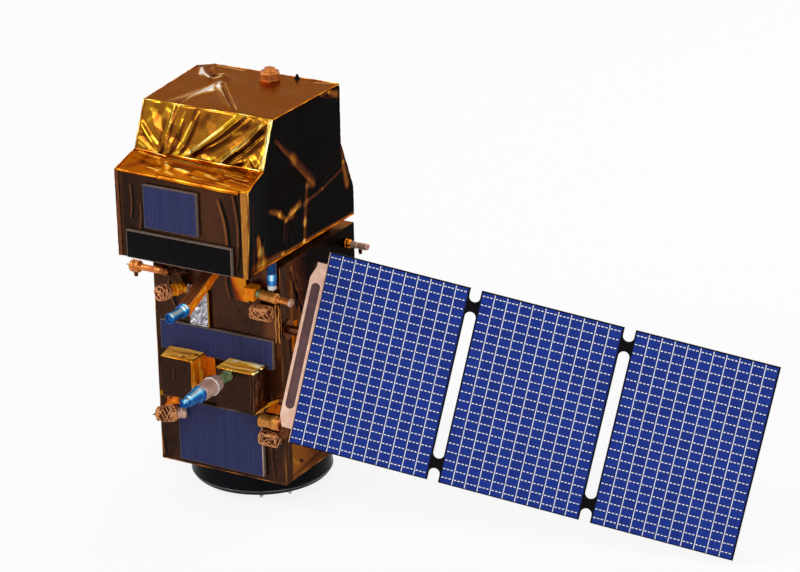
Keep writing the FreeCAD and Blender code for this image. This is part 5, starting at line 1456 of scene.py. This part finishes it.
# Loose flaps of film with sharp folds, and glint_left, a gold patch that paints a glint.
for name, base, seed, material, corners in (
    ("ruffle_left", 0.44, 121, ORANGE_FILM_PAINTED_LIT, [
        (-56, -71, 79), (-41.5, -69, 82), (-43, BUS_FACE - 0.6, 91), (-54, BUS_FACE - 0.6, 89)]),
    ("ruffle_left_dark", 0.3, 122, FILM_BROWN, [
        (-58, -67, 83), (-50, -67.5, 84.5), (-51, BUS_FACE - 0.5, 95), (-58, BUS_FACE - 0.5, 94)]),
    ("ruffle_right_bunch", 0.74, 123, ORANGE_FILM_PAINTED_LIT, [
        (38.8, -69, 87.5), (47.5, -69.5, 93), (48, -66, 97.5), (39, -65, 97.5)]),
    ("ruffle_right_ribbon", 0.72, 124, ORANGE_FILM_PAINTED_LIT, [
        (45, -69.5, 93.5), (63, -69.5, 105), (63, -67.8, 107.4), (45, -67.5, 98.2)]),
    ("ruffle_right_flap", 0.4, 125, ORANGE_FILM_PAINTED_LIT, [
        (50.5, -70.5, 93.5), (64.2, -70.5, 93.6), (64, -66, 102), (54, -65, 100.5)]),
    ("glint_left", 0.46, 126, FILM_GOLD, [
        (x, BUS_FACE - 0.4, z)
        for x, z in ((-64.6, 84.5), (-59.4, 85.4), (-60, 91), (-64.6, 89.5))]),
):
    quad_film(
        name, corners, material, base, 0.6, (0.5, -0.7), crumple=1.5, facet=3.4, seed=seed,
        step=0.4, edge=0.6)
x = BUS_RIGHT + 0.5
quad_film(
    "bus_side_streak", [(x, -49.5, 146), (x, -40, 145), (x, -37, 172), (x, -44, 173)],
    FILM_ORANGE, 0.32, 0.6, (0.9, -0.2), crumple=1, facet=5, seed=127)


# Back tubes, top and drum

BACK_Y, BACK_Z = 49, 214
for side, along in (("right", RIGHT), ("left", LEFT)):
    node = f"thruster_back_{side}"
    low, high = corner_mm(node)
    face = low[0] if side == "right" else high[0]
    place = (face, BACK_Y, BACK_Z)
    sleeve(
        f"{node}_collar", [(3.2, 0), (4.3, 0.6), (3.7, 2.2), (4.4, 3.6), (3.7, 5), (3, 6.2)],
        place, along, FILM_ORANGE, 0.5, 0.5, 0.5, 3.6, 131, 40, stands_for=node)
    # Painted light: the tube takes the pale yoke finish to stand out of the hood's shade.
    lathe(f"{node}_tube", [
        (2.7, 5.6), (3.1, 6), (3.1, 12.4), (2.8, 12.8), (2.8, 13.8), (3.1, 14.2), (3.1, 21.8),
        (2.8, 23), (2.2, 23), (2, 21),
    ], place, along, YOKE_COPPER, 40, bevel=0.3)
    lathe(
        f"{node}_nub", [(1.3, 2.4), (1.7, 3), (1.7, 6.2), (1.3, 6.8), (1.3, 7.6)],
        (face + 15 * along[0], BACK_Y, BACK_Z), DOWN, DARK_COPPER, 24, bevel=0.25)

low, high = corner_mm("top_knob")
sleeve("top_knob_film", [
    (10.2, 0), (10, 1), (9.6, 6.2), (8.6, 7.2), (6.2, 7.4), (5.4, 9.8), (4.6, 10.3), (0.4, 10.4),
], (*(low[:2] + high[:2]) / 2, low[2]), UP, FILM_COPPER, 0.55, 0.6, 0.9, 7.5,
    132, 72, stands_for="top_knob", sides=6)
# The drum's lip, painted lighter as its highlight line.
lathe(
    "drum_lip", [(63.7, 4.6), (64.3, 4.9), (64.7, 5.7), (64.3, 6.5), (63.7, 6.8)], (0, 0, 0), UP,
    BLACK_LIP_PAINTED_HIGHLIGHT, 128, bevel=0.2)

# CAD nodes that keep their shape and get a finish.
for node, material in (
    ("adapter_drum", BLACK_GLOSS), ("base_nozzles", PALE_METAL), ("wing_flange", DARK_COPPER),
    ("hood_feet", BLACK_SATIN), ("top_cone", BLACK_SATIN), ("wing_panel", BLACK_SATIN),
    ("wing_yoke", YOKE_COPPER), ("wing_hub", DARK_COPPER), ("wing_shaft", DARK_COPPER),
):
    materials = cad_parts[node].data.materials
    materials.clear()
    materials.append(material)


# Stage, lights and camera. From here on, sizes are in metres.

FLOOR_REACH = 6
WHITE = (1, 1, 1, 1)
GLOW = 0.86
SOFT_LIGHT = 0.55
CENTRE = (0.1, 0, 0.18)
CAMERA_PLACE = (1.4389, -2.2376, 1.2277)
CAMERA_TURN, CAMERA_DROP, CAMERA_ROLL = 29.976, 21.596, -1.105


def make_floor():
    """A floor that takes the shadow and otherwise shows as white."""
    built = bmesh.new()
    bmesh.ops.create_grid(built, x_segments=1, y_segments=1, size=FLOOR_REACH)
    bmesh.ops.translate(built, vec=(0, 0, cad_box[0][2]), verts=built.verts)
    mesh = bpy.data.meshes.new("floor")
    built.to_mesh(mesh)
    built.free()
    floor = bpy.data.objects.new("floor", mesh)
    bpy.context.scene.collection.objects.link(floor)
    shade = Shade("floor", Base_Color=(0.9, 0.9, 0.9, 1), Roughness=0.9)
    white = shade.node("Emission", Color=WHITE, Strength=1)
    shade.blend(
        "Material Output", shade.math("MULTIPLY", shade.backdrop_share(), GLOW),
        shade.surface.outputs["BSDF"], white.outputs["Emission"])
    mesh.materials.append(shade.material)


def make_world():
    """Soft light from all round, and white for what looks straight at it."""
    world = bpy.data.worlds.new("studio")
    bpy.context.scene.world = world
    world.use_nodes = True
    sky = Nodes(world.node_tree)
    soft, white = (
        sky.node("Background", Color=WHITE, Strength=strength).outputs["Background"]
        for strength in (SOFT_LIGHT, 1))
    sky.blend("World Output", sky.backdrop_share(), soft, white)


def add_light(name, place, size, power):
    """A round lamp that faces the model."""
    data = bpy.data.lights.new(name, "AREA")
    data.shape, data.size, data.energy = "DISK", size, power
    lamp = bpy.data.objects.new(name, data)
    lamp.location = place
    lamp.rotation_euler = (Vector(CENTRE) - Vector(place)).to_track_quat("-Z", "Y").to_euler()
    bpy.context.scene.collection.objects.link(lamp)


def make_camera():
    data = bpy.data.cameras.new("camera")
    data.lens, data.sensor_width, data.clip_start = 144, 36, 0.05
    camera = bpy.data.objects.new("camera", data)
    camera.matrix_world = (
        Matrix.Translation(CAMERA_PLACE) @ Matrix.Rotation(math.radians(CAMERA_TURN), 4, "Z")
        @ Matrix.Rotation(math.radians(90 - CAMERA_DROP), 4, "X")
        @ Matrix.Rotation(math.radians(CAMERA_ROLL), 4, "Z"))
    bpy.context.scene.collection.objects.link(camera)
    bpy.context.scene.camera = camera


make_floor()
make_world()
add_light("key", (-1.2, -2, 2.4), 1.2, 34)
add_light("fill", (2.2, -1.6, 1.2), 1.6, 14)
add_light("back", (0.4, 2, 2), 1.4, 16)
make_camera()
bpy.context.scene.view_settings.view_transform = "Standard"
